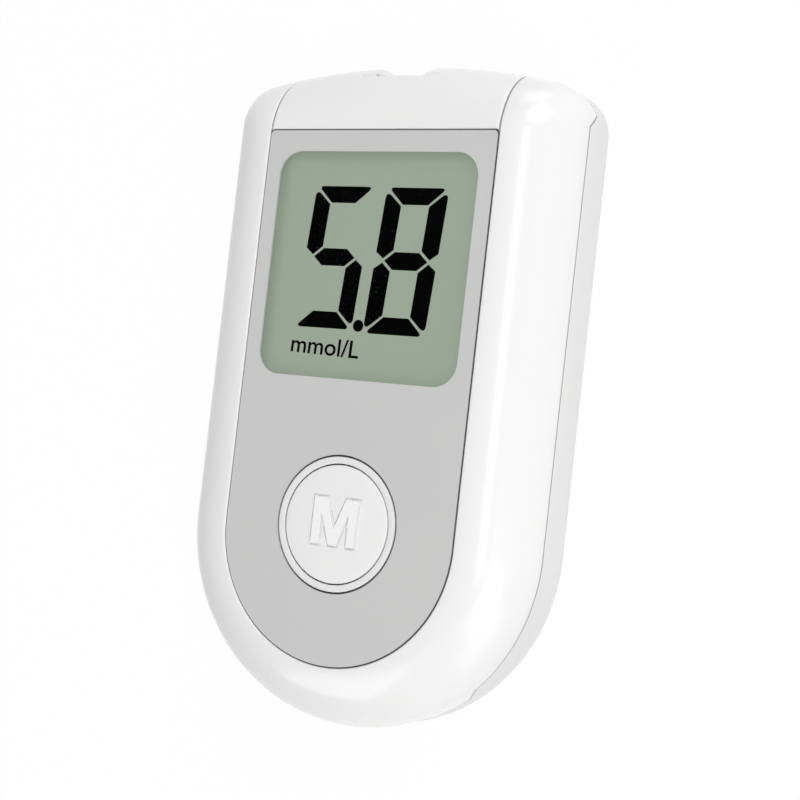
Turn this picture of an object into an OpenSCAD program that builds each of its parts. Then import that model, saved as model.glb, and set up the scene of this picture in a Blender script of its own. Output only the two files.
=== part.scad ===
// Handheld blood glucose meter, lying on its back.
// Origin: centre of the footprint, on the flat back. +Y runs towards the strip port,
// +Z out of the face. All lengths are in millimetres.

/* [Housing] */
// Width of the housing
body_w = 52.6; // [50:0.1:58]
// Length of the housing, from the round end to the crest of the port end
body_l = 89.4; // [88:0.1:104]
// Distance from the outermost point of the round end to its centre
end_reach = 25.7; // [24.5:0.1:29]
// Thickness of the housing
body_t = 16; // [16:0.1:19]
// Wall thickness of the shells
wall = 1.8; // [1.4:0.1:2]
// Height of the rounding between the face and the side walls
edge_h = 8; // [7.5:0.1:9]
// How far the crowned top edge falls from its middle to the side walls
crown_fall = 3.5; // [1:0.1:4]
// Corner radius of the widest outline
corner_r = 6.1; // [5:0.1:8]
// Radius of the edge round the back
back_r = 2; // [1:0.1:2.2]
// Floor thickness of the rear cover
rear_floor = 2.4; // [2.2:0.1:3]

/* [Parting lines] */
// Height of the shell seam above the back, along the sides
side_seam_h = 7; // [6.2:0.1:7.4]
// Height of the shell seam above the back, at both ends
end_seam_h = 4.9; // [4:0.1:5.5]
// Distance from the round end to where the side seam begins
side_seam_start = 9; // [7:0.5:12]
// Distance from the port end to where the side seam stops
side_seam_stop = 6.5; // [5.5:0.5:9]
// Length of the sloping step between the two seam heights
seam_slope = 2; // [1:0.1:3]
// Gap at every seam between housing parts
seam_gap = 0.1; // [0.06:0.01:0.15]

/* [Face panel] */
// Width of the grey face panel
panel_w = 35; // [34.4:0.1:37]
// Distance from the port end to the panel's straight edge
panel_top_gap = 10.1; // [10:0.1:12]
// Thickness of the face panel
panel_t = 0.6; // [0.4:0.1:0.8]
// Corner radius at the panel's straight edge
panel_corner_r = 0.6; // [0.5:0.1:2]
// Thickness of the deck that carries the panel
deck_t = 1.4; // [1.2:0.1:1.6]

/* [Display] */
// Width of the panel's border on each side of the window
window_side = 2.3; // [2.1:0.1:4]
// Height of the display window
window_h = 30.4; // [26:0.1:30.8]
// Corner radius of the display window
window_r = 3.3; // [2:0.1:4]
// Distance from the panel's straight edge down to the window
window_drop = 3; // [2.6:0.1:4]
// Overlap of the panel on the window lens
lens_lap = 1.1; // [0.8:0.1:1.2]
// Thickness of the window lens
lens_t = 0.6; // [0.5:0.1:0.9]
// Thickness of each glass plate of the display
glass_t = 0.95; // [0.8:0.05:1.1]
// Length of the bare contact ledge of the display
ledge_l = 2.4; // [2:0.1:3]
// Wall thickness of the display holder
holder_wall = 1.2; // [1:0.1:1.4]

/* [Button] */
// Outer diameter of the trim ring round the button
ring_d = 18; // [17:0.1:19]
// Inner diameter of the trim ring
ring_bore_d = 15.7; // [14.6:0.1:16]
// Distance from the window's lower edge down to the button's centre
button_drop = 19; // [18:0.1:20]
// Height that the button stands out of the face
button_proud = 0.15; // [0:0.05:0.6]
// Travel of the button
button_travel = 0.4; // [0.2:0.05:0.4]
// Clearance round the button in its ring
button_gap = 0.15; // [0.1:0.01:0.25]
// Side length of the push switch
switch_w = 6.2; // [5:0.1:7]
// Diameter of the switch plunger
plunger_d = 3.4; // [3:0.1:3.6]

/* [Circuit board] */
// Thickness of the circuit board
board_t = 1; // [0.8:0.1:1.2]
// Clearance between the board's edge and the shell wall
board_gap = 0.8; // [0.5:0.1:1.2]

/* [Test strip port] */
// Width of the slot for a test strip
slot_w = 6.6; // [5.6:0.1:7]
// Height of the slot for a test strip
slot_h = 1.2; // [0.8:0.1:1.4]
// Height of the slot's floor above the board
slot_rise = 1; // [0.9:0.1:1.1]
// Depth of the port's socket
port_depth = 4.2; // [4:0.1:4.4]
// Depth of the finger relief in the port end
relief_depth = 2.2; // [1.6:0.1:2.4]
// Width of the finger relief at its floor
relief_floor_w = 7; // [3:0.1:8]
// Width of the finger relief at its mouth
relief_mouth_w = 10.2; // [8:0.1:14]
// Length of the ledge below the slot, before the relief runs out towards the back
relief_ledge = 0.7; // [0.5:0.1:0.8]
// Height above the back at which the relief runs out
relief_end_h = 2.2; // [2:0.1:4.8]

/* [Battery] */
// Diameter of the coin cell
cell_d = 20; // [20:0.1:20.2]
// Thickness of the coin cell
cell_t = 3.2; // [3:0.1:3.2]
// Distance of the cell's centre above the centre of the round end
cell_rise = 1; // [0:0.5:3]
// Room between the coin cell and the board for the spring contact
spring_room = 2.7; // [2.4:0.1:3]
// Width of the battery door
door_w = 26; // [25.5:0.1:27]
// Thickness of the battery door
door_t = 1.6; // [1.4:0.1:1.7]
// Clearance round the battery door
door_gap = 0.15; // [0.1:0.01:0.25]
// Width of the sliding tongue on each side of the door
rail_w = 0.9; // [0.6:0.1:1.2]

/* [Fasteners] */
// Shank diameter of the case screws
screw_d = 2; // [1.6:0.1:2.2]
// Head diameter of the case screws
screw_head_d = 3.8; // [3.4:0.1:4]
// Head height of the case screws
screw_head_h = 1.3; // [1:0.1:1.5]
// Distance of the lower screws from the round end's centre line
low_screw_x = 16; // [15:0.5:17]
// Distance of the lower screws below the centre of the round end
low_screw_drop = 14; // [12:0.5:14]
// Distance of the upper screws from the side of the housing
high_screw_inset = 5.4; // [5.2:0.1:5.6]
// Distance of the upper screws from the port end
high_screw_drop = 9; // [8:0.5:12]

/* [Hidden] */
$fn = 64;

// Number of facets along the round end, a corner, the crown and the two roundings
ARC_STEPS = 36;
CORNER_STEPS = 6;
CROWN_STEPS = 8;
FACE_STEPS = 9;
BACK_STEPS = 4;

// Small amount by which cutting bodies run past the faces they cut
eps = 0.02;
past = 5;
// Radial running fit of sliding round parts, and play of seated ones
run_fit = 0.08;
seat_gap = 0.05;

// Places along Y
end_y = -body_l / 2;
arc_y = end_y + end_reach;
crest_y = body_l / 2;
panel_top_y = crest_y - panel_top_gap;
window_top_y = panel_top_y - window_drop;
window_low_y = window_top_y - window_h;
button_y = window_low_y - button_drop;
cell_y = arc_y + cell_rise;

// Levels above the back
face_z = body_t;
deck_z = face_z - panel_t;
deck_low_z = deck_z - deck_t;
cell_z = door_t + 0.3;
board_z = cell_z + cell_t + spring_room;
board_top_z = board_z + board_t;
lens_z = deck_z - lens_t;
display_top_z = lens_z - 0.1;
ledge_z = display_top_z - glass_t;
display_z = ledge_z - glass_t;
slot_z = board_top_z + slot_rise;

// How far the rounding reaches in under the panel's edge
face_inset = 0.3;
// Outline of the lens and the display: the window, a lap all round and the contact ledge
window_half_w = panel_w / 2 - window_side;
lens_half_w = window_half_w + lens_lap;
lens_top_y = window_top_y + lens_lap;
lens_low_y = window_low_y - lens_lap - ledge_l / 2;
lens_r = 0.5;
part_gap = 0.2;

// Button stack
button_r = ring_bore_d / 2 - button_gap;
flange_r = button_r + 1.3;
flange_t = 0.9;
flange_top_z = deck_low_z - 0.3;
button_wall = 1.3;
stem_r = 2.4;
plunger_top_z = flange_top_z - flange_t - 0.2;
plunger_stroke_room = button_travel + 0.3;
switch_top_z = plunger_top_z - button_travel - 0.3;
plunger_low_z = board_top_z + 0.6 + plunger_stroke_room;

// Port and relief
port_w = slot_w + 5.4;
port_mouth_y = crest_y - relief_depth - 3.3;
port_back_y = port_mouth_y - port_depth;
port_t = slot_rise + slot_h + 1.1;
relief_low_z = slot_z - 0.9;
contact_pitch = 1.5;
contact_w = 0.6;

// Parts on the board and under it
strip_w = 1.6;
strip_l = 2 * lens_half_w - 4;
strip_low_y = lens_low_y + (ledge_l - strip_w) / 2;
chip_y = (lens_low_y + button_y + switch_w / 2) / 2;
chip_t = 1.4;
chip_gap = 3;
processor_w = 7;
memory_size = [5, 4];
crystal_size = [2.2, 6, 1.8];
processor_x = -processor_w / 2 - chip_gap;
memory_x = chip_gap / 2 + memory_size[0] / 2;
crystal_x = memory_x + memory_size[0] / 2 + chip_gap + crystal_size[0] / 2;
sounder_r = 6.5;
sounder_gap = 9;

// Battery well and door
cell_play = 0.25;
clip_w = 4;
clip_slot_w = clip_w + 1.2;
clip_reach = 2.6;
well_r = cell_d / 2 + cell_play;
well_wall = 1.2;
well_top_z = cell_z + cell_t + 0.9;
door_head = 3;
door_top_y = cell_y + well_r + door_head;
door_rail_z = 0.9;
sounder_y = door_top_y + sounder_r + sounder_gap;

// Screws
screw_points = [
    for (side = [-1, 1]) [side * low_screw_x, arc_y - low_screw_drop],
    for (side = [-1, 1]) [side * (body_w / 2 - high_screw_inset), crest_y - high_screw_drop]
];
boss_r = screw_head_d / 2 + 0.7;
pilot_roof = 2;
screw_top_z = deck_low_z - pilot_roof;

// ---------- functions ----------

function mix(a, b, t) = a + (b - a) * t;

// Height of the crowned top edge above the row of points at x
function crown_y(x, half_w, top_y, fall) = top_y - fall * pow(x / half_w, 2);

// Closed outline: a half round at the bottom, straight sides, two corners and a crown.
// Every outline has the same number of points, so that two of them can be lofted.
function outline(half_w, end_r, top_y, fall, r) =
    let (
        lean_0 = atan(2 * fall * (half_w - r) / pow(half_w, 2)),
        lean = atan(2 * fall * (half_w - r + r * sin(lean_0)) / pow(half_w, 2)),
        crown_x = half_w - r + r * sin(lean),
        corner_y = crown_y(crown_x, half_w, top_y, fall) - r * cos(lean)
    )
    [
        for (i = [0 : ARC_STEPS])
            let (a = 180 + 180 * i / ARC_STEPS)
            [half_w * cos(a), arc_y + end_r * sin(a)],
        for (i = [0 : CORNER_STEPS])
            let (a = (90 - lean) * i / CORNER_STEPS)
            [half_w - r + r * cos(a), corner_y + r * sin(a)],
        for (i = [1 : CROWN_STEPS - 1])
            let (x = mix(crown_x, -crown_x, i / CROWN_STEPS))
            [x, crown_y(x, half_w, top_y, fall)],
        for (i = [CORNER_STEPS : -1 : 0])
            let (a = (90 - lean) * i / CORNER_STEPS)
            [-half_w + r - r * cos(a), corner_y + r * sin(a)]
    ];

// Outline of the housing, drawn in by an inset
function body_outline(inset) =
    outline(
        body_w / 2 - inset, end_reach - inset, crest_y - inset, crown_fall, corner_r - inset
    );

// Outline on the way from the widest outline (0) to the flat of the face (1)
function face_outline(t, inset) =
    outline(
        mix(body_w / 2 - inset, panel_w / 2 - face_inset, t),
        mix(end_reach - inset, panel_w / 2 - face_inset, t),
        mix(crest_y - inset, panel_top_y - face_inset, t),
        mix(crown_fall, 0, t),
        mix(corner_r - inset, panel_corner_r, t)
    );

// ---------- building blocks ----------

// Solid through a stack of outlines that share their number of points
module loft(rings, levels) {
    n = len(rings[0]);
    last = len(rings) - 1;
    points = [for (k = [0 : last]) for (p = rings[k]) [p[0], p[1], levels[k]]];
    floor_face = [[for (i = [n - 1 : -1 : 0]) n - 1 - i]];
    roof_face = [[for (i = [0 : n - 1]) last * n + n - 1 - i]];
    sides = [
        for (k = [0 : last - 1])
            for (i = [0 : n - 1])
                let (a = k * n + i, b = k * n + (i + 1) % n)
                each [[a, a + n, b + n], [a, b + n, b]]
    ];
    polyhedron(points = points, faces = concat(floor_face, roof_face, sides));
}

// Whole outer form of the housing
module outer_form() {
    back_angles = [for (k = [0 : BACK_STEPS]) 90 * k / BACK_STEPS];
    face_angles = [for (k = [0 : FACE_STEPS]) 90 * k / FACE_STEPS];
    loft(
        concat(
            [for (a = back_angles) body_outline(back_r * (1 - sin(a)))],
            [for (a = face_angles) face_outline(1 - cos(a), 0)]
        ),
        concat(
            [for (a = back_angles) back_r * (1 - cos(a))],
            [for (a = face_angles) face_z - edge_h * (1 - sin(a))]
        )
    );
}

// Hollow of the housing between the rear floor and the deck
module inner_form() {
    inner_edge_h = edge_h - wall;
    face_angles = [for (k = [0 : FACE_STEPS]) 90 * k / FACE_STEPS];
    loft(
        concat([body_outline(wall)], [for (a = face_angles) face_outline(1 - cos(a), wall)]),
        concat([rear_floor], [for (a = face_angles) deck_low_z - inner_edge_h * (1 - sin(a))])
    );
}

// Everything behind the seam between the front parts and the rear cover
module behind_seam(lift) {
    low = end_seam_h + lift;
    high = side_seam_h + lift;
    far_x = body_w / 2 + past;
    start_y = end_y + side_seam_start;
    stop_y = crest_y - side_seam_stop;
    profile = [
        [end_y - past, -past], [crest_y + past, -past], [crest_y + past, low],
        [stop_y, low], [stop_y - seam_slope, high], [start_y + seam_slope, high],
        [start_y, low], [end_y - past, low]
    ];
    translate([-far_x, 0, 0])
        rotate([90, 0, 90])
            linear_extrude(2 * far_x) polygon(profile);
}

// Panel shape: a half round below, straight sides and two small corners above
module panel_shape(half_w, top_y, r) {
    translate([0, arc_y]) circle(half_w, $fn = 96);
    translate([-half_w, arc_y]) square([2 * half_w, top_y - r - arc_y]);
    translate([-half_w + r, arc_y]) square([2 * (half_w - r), top_y - arc_y]);
    for (side = [-1, 1]) translate([side * (half_w - r), top_y - r]) circle(r);
}

// Rectangle with round corners, given by its half width and its two ends
module round_rect(half_w, low_y, high_y, r) {
    translate([-half_w + r, low_y]) square([2 * (half_w - r), high_y - low_y]);
    translate([-half_w, low_y + r]) square([2 * half_w, high_y - low_y - 2 * r]);
    for (side = [-1, 1])
        for (y = [low_y + r, high_y - r])
            translate([side * (half_w - r), y]) circle(r);
}

// Flat slab between two levels
module slab(low_z, high_z) {
    translate([0, 0, low_z]) linear_extrude(high_z - low_z) children();
}

// Upright cylinder between two levels
module post(x, y, r, low_z, high_z) {
    translate([x, y, low_z]) cylinder(r = r, h = high_z - low_z);
}

// Box between two levels, centred on x and reaching from one y to another
module bar(x, low_y, high_y, width, low_z, high_z) {
    translate([x - width / 2, low_y, low_z]) cube([width, high_y - low_y, high_z - low_z]);
}

// Space of the cap at the port end, widened by a gap
module cap_space(gap) {
    bar(0, panel_top_y - gap, crest_y + past, panel_w + 2 * gap, -past, face_z + past);
}

// Prism of the sliding door and its side tongues, widened by a gap
module door_prism(gap) {
    bar(0, end_y - past, door_top_y + gap, door_w + 2 * gap, -past, door_t + gap);
    bar(0, end_y - past, door_top_y + gap, door_w + 2 * (rail_w + gap), door_rail_z - gap, door_t + gap);
}

// ---------- housing ----------

module front_shell() {
    color("white")
    difference() {
        union() {
            difference() {
                outer_form();
                inner_form();
                slab(-past, rear_floor + eps) square(2 * body_l, center = true);
            }
            intersection() {
                outer_form();
                for (p = screw_points) post(p[0], p[1], boss_r, board_top_z + seat_gap, face_z);
            }
        }
        behind_seam(seam_gap / 2);
        cap_space(seam_gap / 2);
        slab(deck_z, face_z + past) panel_shape(panel_w / 2, panel_top_y + past, panel_corner_r);
        slab(deck_low_z - past, face_z)
            round_rect(lens_half_w + part_gap, lens_low_y - part_gap, lens_top_y + part_gap, lens_r);
        post(0, button_y, button_r + 2 * button_gap, deck_low_z - past, face_z);
        for (p = screw_points)
            post(p[0], p[1], screw_d / 2 + seat_gap, 0, screw_top_z + 0.4);
    }
}

module top_cap() {
    tab_w = 6;
    tab_reach = 1;
    tab_t = 1.2;
    color("white")
    difference() {
        union() {
            intersection() {
                difference() {
                    outer_form();
                    inner_form();
                }
                union() {
                    cap_space(-seam_gap / 2);
                    cap_corners();
                }
            }
            intersection() {
                outer_form();
                bar(0, port_mouth_y + 0.1, crest_y, port_w, board_z, relief_low_z + port_t + 2);
            }
            for (side = [-1, 1])
                bar(
                    side * panel_w / 4, panel_top_y - tab_reach, panel_top_y + 2 * tab_reach,
                    tab_w, deck_low_z - seam_gap - tab_t, deck_low_z - seam_gap
                );
            for (side = [-1, 1])
                bar(
                    side * panel_w / 4, panel_top_y + seam_gap, panel_top_y + 2 * tab_reach,
                    tab_w, deck_low_z - tab_t, deck_low_z + 0.3
                );
        }
        behind_seam(seam_gap / 2);
        finger_relief();
        bar(0, port_mouth_y - past, crest_y + past, slot_w, slot_z, slot_z + slot_h);
    }
}

// Corners of the cap that follow the panel's round corners, down to the deck
module cap_corners() {
    half_w = (panel_w - seam_gap) / 2;
    slab(deck_z + seat_gap, face_z + past)
        difference() {
            translate([-half_w, panel_top_y - panel_corner_r])
                square([2 * half_w, panel_corner_r + seam_gap]);
            panel_shape(panel_w / 2, panel_top_y, panel_corner_r);
        }
}

// Trough across the port end, in front of the strip slot. It runs out down the end wall.
module finger_relief() {
    floor_y = crest_y - relief_depth;
    ledge_y = floor_y + relief_ledge;
    far_y = crest_y + past;
    lean = (relief_mouth_w - relief_floor_w) / 2 / relief_depth;
    far_half = relief_floor_w / 2 + lean * (relief_depth + past);
    slope = (relief_low_z - relief_end_h) / (crest_y - ledge_y);
    intersection() {
        slab(-past, face_z + past)
            polygon([
                [-relief_floor_w / 2, floor_y], [relief_floor_w / 2, floor_y],
                [far_half, far_y], [-far_half, far_y]
            ]);
        translate([-far_half, 0, 0])
            rotate([90, 0, 90])
                linear_extrude(2 * far_half)
                    polygon([
                        [floor_y, relief_low_z], [ledge_y, relief_low_z],
                        [far_y, relief_low_z - slope * (far_y - ledge_y)],
                        [far_y, face_z + past], [floor_y, face_z + past]
                    ]);
    }
}

module rear_cover() {
    hole_w = 1.2;
    hole_l = 5;
    hole_pitch = 2.4;
    color("whitesmoke")
    difference() {
        union() {
            intersection() {
                difference() {
                    outer_form();
                    slab(rear_floor, face_z + past) polygon(body_outline(wall));
                }
                behind_seam(-seam_gap / 2);
            }
            seam_lip();
            for (p = screw_points) post(p[0], p[1], boss_r, rear_floor - eps, board_z);
            difference() {
                post(0, cell_y, well_r + well_wall, rear_floor - eps, well_top_z);
                translate([0, cell_y, 0])
                    bar(well_r, -clip_slot_w / 2, clip_slot_w / 2, 2 * clip_reach, rear_floor, well_top_z + past);
            }
        }
        post(0, cell_y, well_r, -past, well_top_z + past);
        door_prism(door_gap);
        finger_relief();
        for (p = screw_points) {
            post(p[0], p[1], screw_head_d / 2 + 0.3, -past, rear_floor);
            post(p[0], p[1], screw_d / 2 + 0.15, 0, board_z + past);
        }
        for (i = [-1 : 1])
            bar(i * hole_pitch, sounder_y - hole_l / 2, sounder_y + hole_l / 2, hole_w, -past, rear_floor + past);
    }
}

// Lip inside the wall that reaches up past the seam and locates the front shell
module seam_lip() {
    lip_t = 0.7;
    lip_gap = 0.1;
    lip_h = 0.6;
    for (band = [[0, -3 * seam_gap], [lip_gap, lip_h]])
        intersection() {
            slab(rear_floor - eps, board_z)
                difference() {
                    polygon(body_outline(wall - eps + band[0]));
                    polygon(body_outline(wall + lip_t));
                }
            behind_seam(band[1]);
        }
}

module battery_door() {
    grip_w = 12;
    grip_depth = 0.4;
    grip_line = 0.8;
    grip_pitch = 1.8;
    grip_start = 8;
    color("whitesmoke")
    difference() {
        intersection() {
            outer_form();
            door_prism(0);
        }
        for (i = [0 : 4])
            translate([0, end_y + grip_start + i * grip_pitch, 0])
                bar(0, 0, grip_line, grip_w, -past, grip_depth);
    }
}

module case_screws() {
    color("silver")
    for (p = screw_points)
        difference() {
            union() {
                post(p[0], p[1], screw_d / 2, rear_floor - eps, screw_top_z);
                post(p[0], p[1], screw_head_d / 2, rear_floor - screw_head_h, rear_floor);
            }
            for (turn = [0, 90])
                translate([p[0], p[1], 0])
                    rotate(turn)
                        bar(0, -screw_d / 2, screw_d / 2, 0.5, 0, rear_floor - screw_head_h + 0.7);
        }
}

// ---------- face ----------

module face_panel() {
    color("silver")
    slab(deck_z, face_z)
        difference() {
            panel_shape(panel_w / 2 - seam_gap, panel_top_y - seam_gap, panel_corner_r);
            round_rect(window_half_w, window_low_y, window_top_y, window_r);
            translate([0, button_y]) circle(ring_d / 2 + seam_gap);
        }
}

module display_window() {
    color("white", 0.3)
    slab(lens_z, deck_z) round_rect(lens_half_w, lens_low_y, lens_top_y, lens_r);
}

module display_panel() {
    color("darkseagreen")
    union() {
        slab(ledge_z, display_top_z) round_rect(lens_half_w, lens_low_y, lens_top_y, lens_r);
        slab(display_z, ledge_z) round_rect(lens_half_w, lens_low_y + ledge_l, lens_top_y, lens_r);
    }
}

module display_backing() {
    color("gainsboro")
    slab(display_z - 0.3, display_z)
        round_rect(lens_half_w - 1, lens_low_y + ledge_l + 1, lens_top_y - 1, 0.5);
}

module display_holder() {
    color("white")
    difference() {
        slab(board_top_z, deck_low_z - 0.1)
            round_rect(
                lens_half_w + part_gap + holder_wall, lens_low_y - part_gap - holder_wall,
                lens_top_y + part_gap + holder_wall / 2, 1
            );
        slab(display_z, face_z)
            round_rect(lens_half_w + part_gap, lens_low_y - part_gap, lens_top_y + part_gap, 0.5);
        slab(board_top_z + 1, face_z)
            round_rect(lens_half_w - 0.9, lens_low_y + ledge_l + 0.9, lens_top_y - 0.9, 0.5);
        slab(board_top_z - past, board_top_z + 2)
            round_rect(lens_half_w - 4, lens_low_y + ledge_l + 4, lens_top_y - 4, 1);
        bar(0, strip_low_y - 0.1, strip_low_y + strip_w + 0.1, strip_l + 0.2, board_top_z - past, face_z);
    }
}

module contact_strips() {
    color("dimgray")
    bar(0, strip_low_y, strip_low_y + strip_w, strip_l, board_top_z, ledge_z);
}

module button_ring() {
    color("white")
    slab(deck_z, face_z + button_proud / 2)
        translate([0, button_y])
            difference() {
                circle(ring_d / 2, $fn = 96);
                circle(ring_bore_d / 2, $fn = 96);
            }
}

module button_cap() {
    edge = 0.35;
    top_z = face_z + button_proud;
    roof_z = top_z - button_wall;
    low_z = flange_top_z - flange_t;
    color("white")
    translate([0, button_y, 0])
        rotate_extrude($fn = 96)
            polygon([
                [0, plunger_top_z + seat_gap], [stem_r, plunger_top_z + seat_gap], [stem_r, roof_z],
                [button_r - button_wall, roof_z], [button_r - button_wall, low_z], [flange_r, low_z],
                [flange_r, flange_top_z], [button_r, flange_top_z], [button_r, top_z - edge],
                [button_r - edge, top_z], [0, top_z]
            ]);
}

// ---------- electronics ----------

module switch_body() {
    color("dimgray")
    difference() {
        translate([0, button_y, 0])
            bar(0, -switch_w / 2, switch_w / 2, switch_w, board_top_z, switch_top_z);
        post(0, button_y, plunger_d / 2 + run_fit, board_top_z + 0.6, switch_top_z + past);
    }
}

module switch_plunger() {
    color("black")
    post(0, button_y, plunger_d / 2, plunger_low_z, plunger_top_z);
}

module circuit_board() {
    color("seagreen")
    difference() {
        slab(board_z, board_top_z)
            intersection() {
                polygon(body_outline(wall + board_gap));
                translate([-body_w, end_y]) square([2 * body_w, port_mouth_y - 0.4 - end_y]);
            }
        for (p = screw_points) post(p[0], p[1], screw_d / 2 + 0.3, board_z - past, board_top_z + past);
    }
}

module processor_chip() {
    color("black")
    translate([processor_x, chip_y, 0])
        bar(0, -processor_w / 2, processor_w / 2, processor_w, board_top_z, board_top_z + chip_t);
}

module memory_chip() {
    color("black")
    translate([memory_x, chip_y, 0])
        bar(0, -memory_size[1] / 2, memory_size[1] / 2, memory_size[0], board_top_z, board_top_z + chip_t);
}

module timing_crystal() {
    color("silver")
    translate([crystal_x, chip_y, 0])
        bar(
            0, -crystal_size[1] / 2, crystal_size[1] / 2, crystal_size[0],
            board_top_z, board_top_z + crystal_size[2]
        );
}

module sounder() {
    sound_hole_r = 1.5;
    color("black")
    difference() {
        post(0, sounder_y, sounder_r, rear_floor + 0.2, board_z);
        post(0, sounder_y, sound_hole_r, 0, rear_floor + 1);
    }
}

module strip_port() {
    color("black")
    difference() {
        bar(0, port_back_y, port_mouth_y, port_w, board_top_z, board_top_z + port_t);
        bar(0, port_back_y + 0.8, port_mouth_y + past, slot_w, slot_z, slot_z + slot_h);
        for (i = [-1.5 : 1.5])
            bar(
                i * contact_pitch, port_back_y - past, port_mouth_y - 0.8,
                contact_w + 0.2, slot_z + slot_h - eps, slot_z + slot_h + 0.6
            );
    }
}

// Four bent contacts that lie in the port's roof grooves and drop to the board behind it
module strip_contacts() {
    sheet = 0.25;
    tongue_l = 1.2;
    tail_l = 1;
    tip_y = port_mouth_y - tongue_l;
    tail_y = port_back_y - 0.2;
    high_z = slot_z + slot_h + 0.4;
    color("gold")
    for (i = [-1.5 : 1.5])
        translate([i * contact_pitch - contact_w / 2, 0, 0])
            rotate([90, 0, 90])
                linear_extrude(contact_w)
                    polygon([
                        [tail_y - tail_l, board_top_z], [tail_y, board_top_z],
                        [tail_y, high_z - sheet], [tip_y - tongue_l, high_z - sheet],
                        [tip_y - 0.4, slot_z + slot_h - 0.5], [tip_y, slot_z + slot_h - 0.3],
                        [tip_y - tongue_l + 0.2, high_z], [tail_y - sheet, high_z],
                        [tail_y - sheet, board_top_z + sheet], [tail_y - tail_l, board_top_z + sheet]
                    ]);
}

// ---------- battery ----------

module coin_cell() {
    cap_step = 0.2;
    rim_w = 1.5;
    edge = 0.3;
    color("silver")
    translate([0, cell_y, cell_z])
        rotate_extrude($fn = 96)
            polygon([
                [0, 0], [cell_d / 2 - edge, 0], [cell_d / 2, edge],
                [cell_d / 2, cell_t - cap_step - edge], [cell_d / 2 - edge, cell_t - cap_step],
                [cell_d / 2 - rim_w + edge, cell_t - cap_step], [cell_d / 2 - rim_w, cell_t], [0, cell_t]
            ]);
}

module battery_spring() {
    sheet = 0.3;
    spring_w = 3;
    foot_l = 3;
    arm_l = 4;
    flat_l = 2;
    lip_l = 1;
    lip_h = 0.6;
    cell_top = cell_z + cell_t;
    low_z = cell_top + seat_gap;
    color("gold")
    translate([-spring_w / 2, cell_y, 0])
        rotate([90, 0, 90])
            linear_extrude(spring_w)
                polygon([
                    [-arm_l - foot_l, board_z - sheet], [-arm_l, board_z - sheet], [0, low_z],
                    [flat_l, low_z], [flat_l + lip_l, cell_top + lip_h],
                    [flat_l + lip_l - sheet, cell_top + lip_h + 0.2], [flat_l - 0.2, low_z + sheet],
                    [0.2, low_z + sheet], [0.1 - arm_l, board_z], [-arm_l - foot_l, board_z]
                ]);
}

module battery_clip() {
    sheet = 0.3;
    clip_x = cell_d / 2 + 0.1;
    foot_x = clip_x + clip_reach;
    color("gold")
    translate([0, cell_y + clip_w / 2, 0])
        rotate([90, 0, 0])
            linear_extrude(clip_w)
                polygon([
                    [clip_x, cell_z + 0.9], [clip_x + sheet, cell_z + 0.9], [clip_x + sheet, board_z - sheet],
                    [foot_x, board_z - sheet], [foot_x, board_z], [clip_x, board_z]
                ]);
}

front_shell();
top_cap();
rear_cover();
face_panel();
display_window();
display_panel();
display_backing();
display_holder();
contact_strips();
button_ring();
button_cap();
switch_body();
switch_plunger();
circuit_board();
processor_chip();
memory_chip();
timing_crystal();
strip_port();
strip_contacts();
sounder();
battery_spring();
battery_clip();
coin_cell();
battery_door();
case_screws();
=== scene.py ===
"""Handheld blood glucose meter: its looks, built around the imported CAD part.

The meter lies on its back. The part's frame has its origin in the footprint's centre,
+Y runs towards the strip port and +Z out of the face. Meshes are modelled in
millimetres and turned to metres when they become objects.
"""

import logging
import math
from collections.abc import Callable, Iterable, Sequence
from dataclasses import dataclass, field
from enum import Enum

import bmesh
import bpy
from bmesh.types import BMEdge, BMesh, BMFace, BMVert
from mathutils import Matrix, Vector
from mathutils.kdtree import KDTree


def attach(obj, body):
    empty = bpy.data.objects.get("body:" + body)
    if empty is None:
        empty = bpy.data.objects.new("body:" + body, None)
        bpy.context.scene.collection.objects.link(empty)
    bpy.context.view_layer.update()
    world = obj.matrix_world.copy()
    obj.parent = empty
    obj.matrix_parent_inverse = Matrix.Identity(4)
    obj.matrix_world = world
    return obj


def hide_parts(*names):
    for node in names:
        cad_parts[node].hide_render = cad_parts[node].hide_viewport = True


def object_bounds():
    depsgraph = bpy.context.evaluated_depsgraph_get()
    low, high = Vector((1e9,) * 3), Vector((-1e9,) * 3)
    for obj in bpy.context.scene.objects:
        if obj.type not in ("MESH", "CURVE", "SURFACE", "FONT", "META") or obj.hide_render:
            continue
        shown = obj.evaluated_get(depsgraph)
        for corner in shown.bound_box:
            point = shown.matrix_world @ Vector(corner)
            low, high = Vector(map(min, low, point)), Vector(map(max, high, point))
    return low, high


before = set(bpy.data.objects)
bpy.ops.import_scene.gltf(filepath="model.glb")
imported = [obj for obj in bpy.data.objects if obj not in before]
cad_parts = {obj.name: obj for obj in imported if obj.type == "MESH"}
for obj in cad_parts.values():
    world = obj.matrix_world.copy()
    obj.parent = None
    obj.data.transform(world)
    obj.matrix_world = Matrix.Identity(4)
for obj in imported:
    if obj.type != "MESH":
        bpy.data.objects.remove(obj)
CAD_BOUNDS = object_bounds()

LOG = logging.getLogger("glucose_meter")
MM = 0.001

# Lengths and places are in millimetres. First the CAD model's reach from its origin
HALF_W, CREST_Y = (round(value / MM, 3) for value in CAD_BOUNDS[1][:2])
END_Y = round(CAD_BOUNDS[0][1] / MM, 3)
# The flat of the face, the deck under the panel and the front of the display
FACE_Z = 16.0
DECK_Z = 15.4
DECK_LOW_Z = 14.0
LCD_TOP_Z = 14.7
# Height over which the sides curve into the face
EDGE_H = 8.0
# Middles of the half round end, the button and the coin cell, and the door's far edge
ARC_Y = -19.0
BUTTON_Y = -17.8
CELL_Y = -18.0
DOOR_TOP_Y = -4.75
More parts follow.
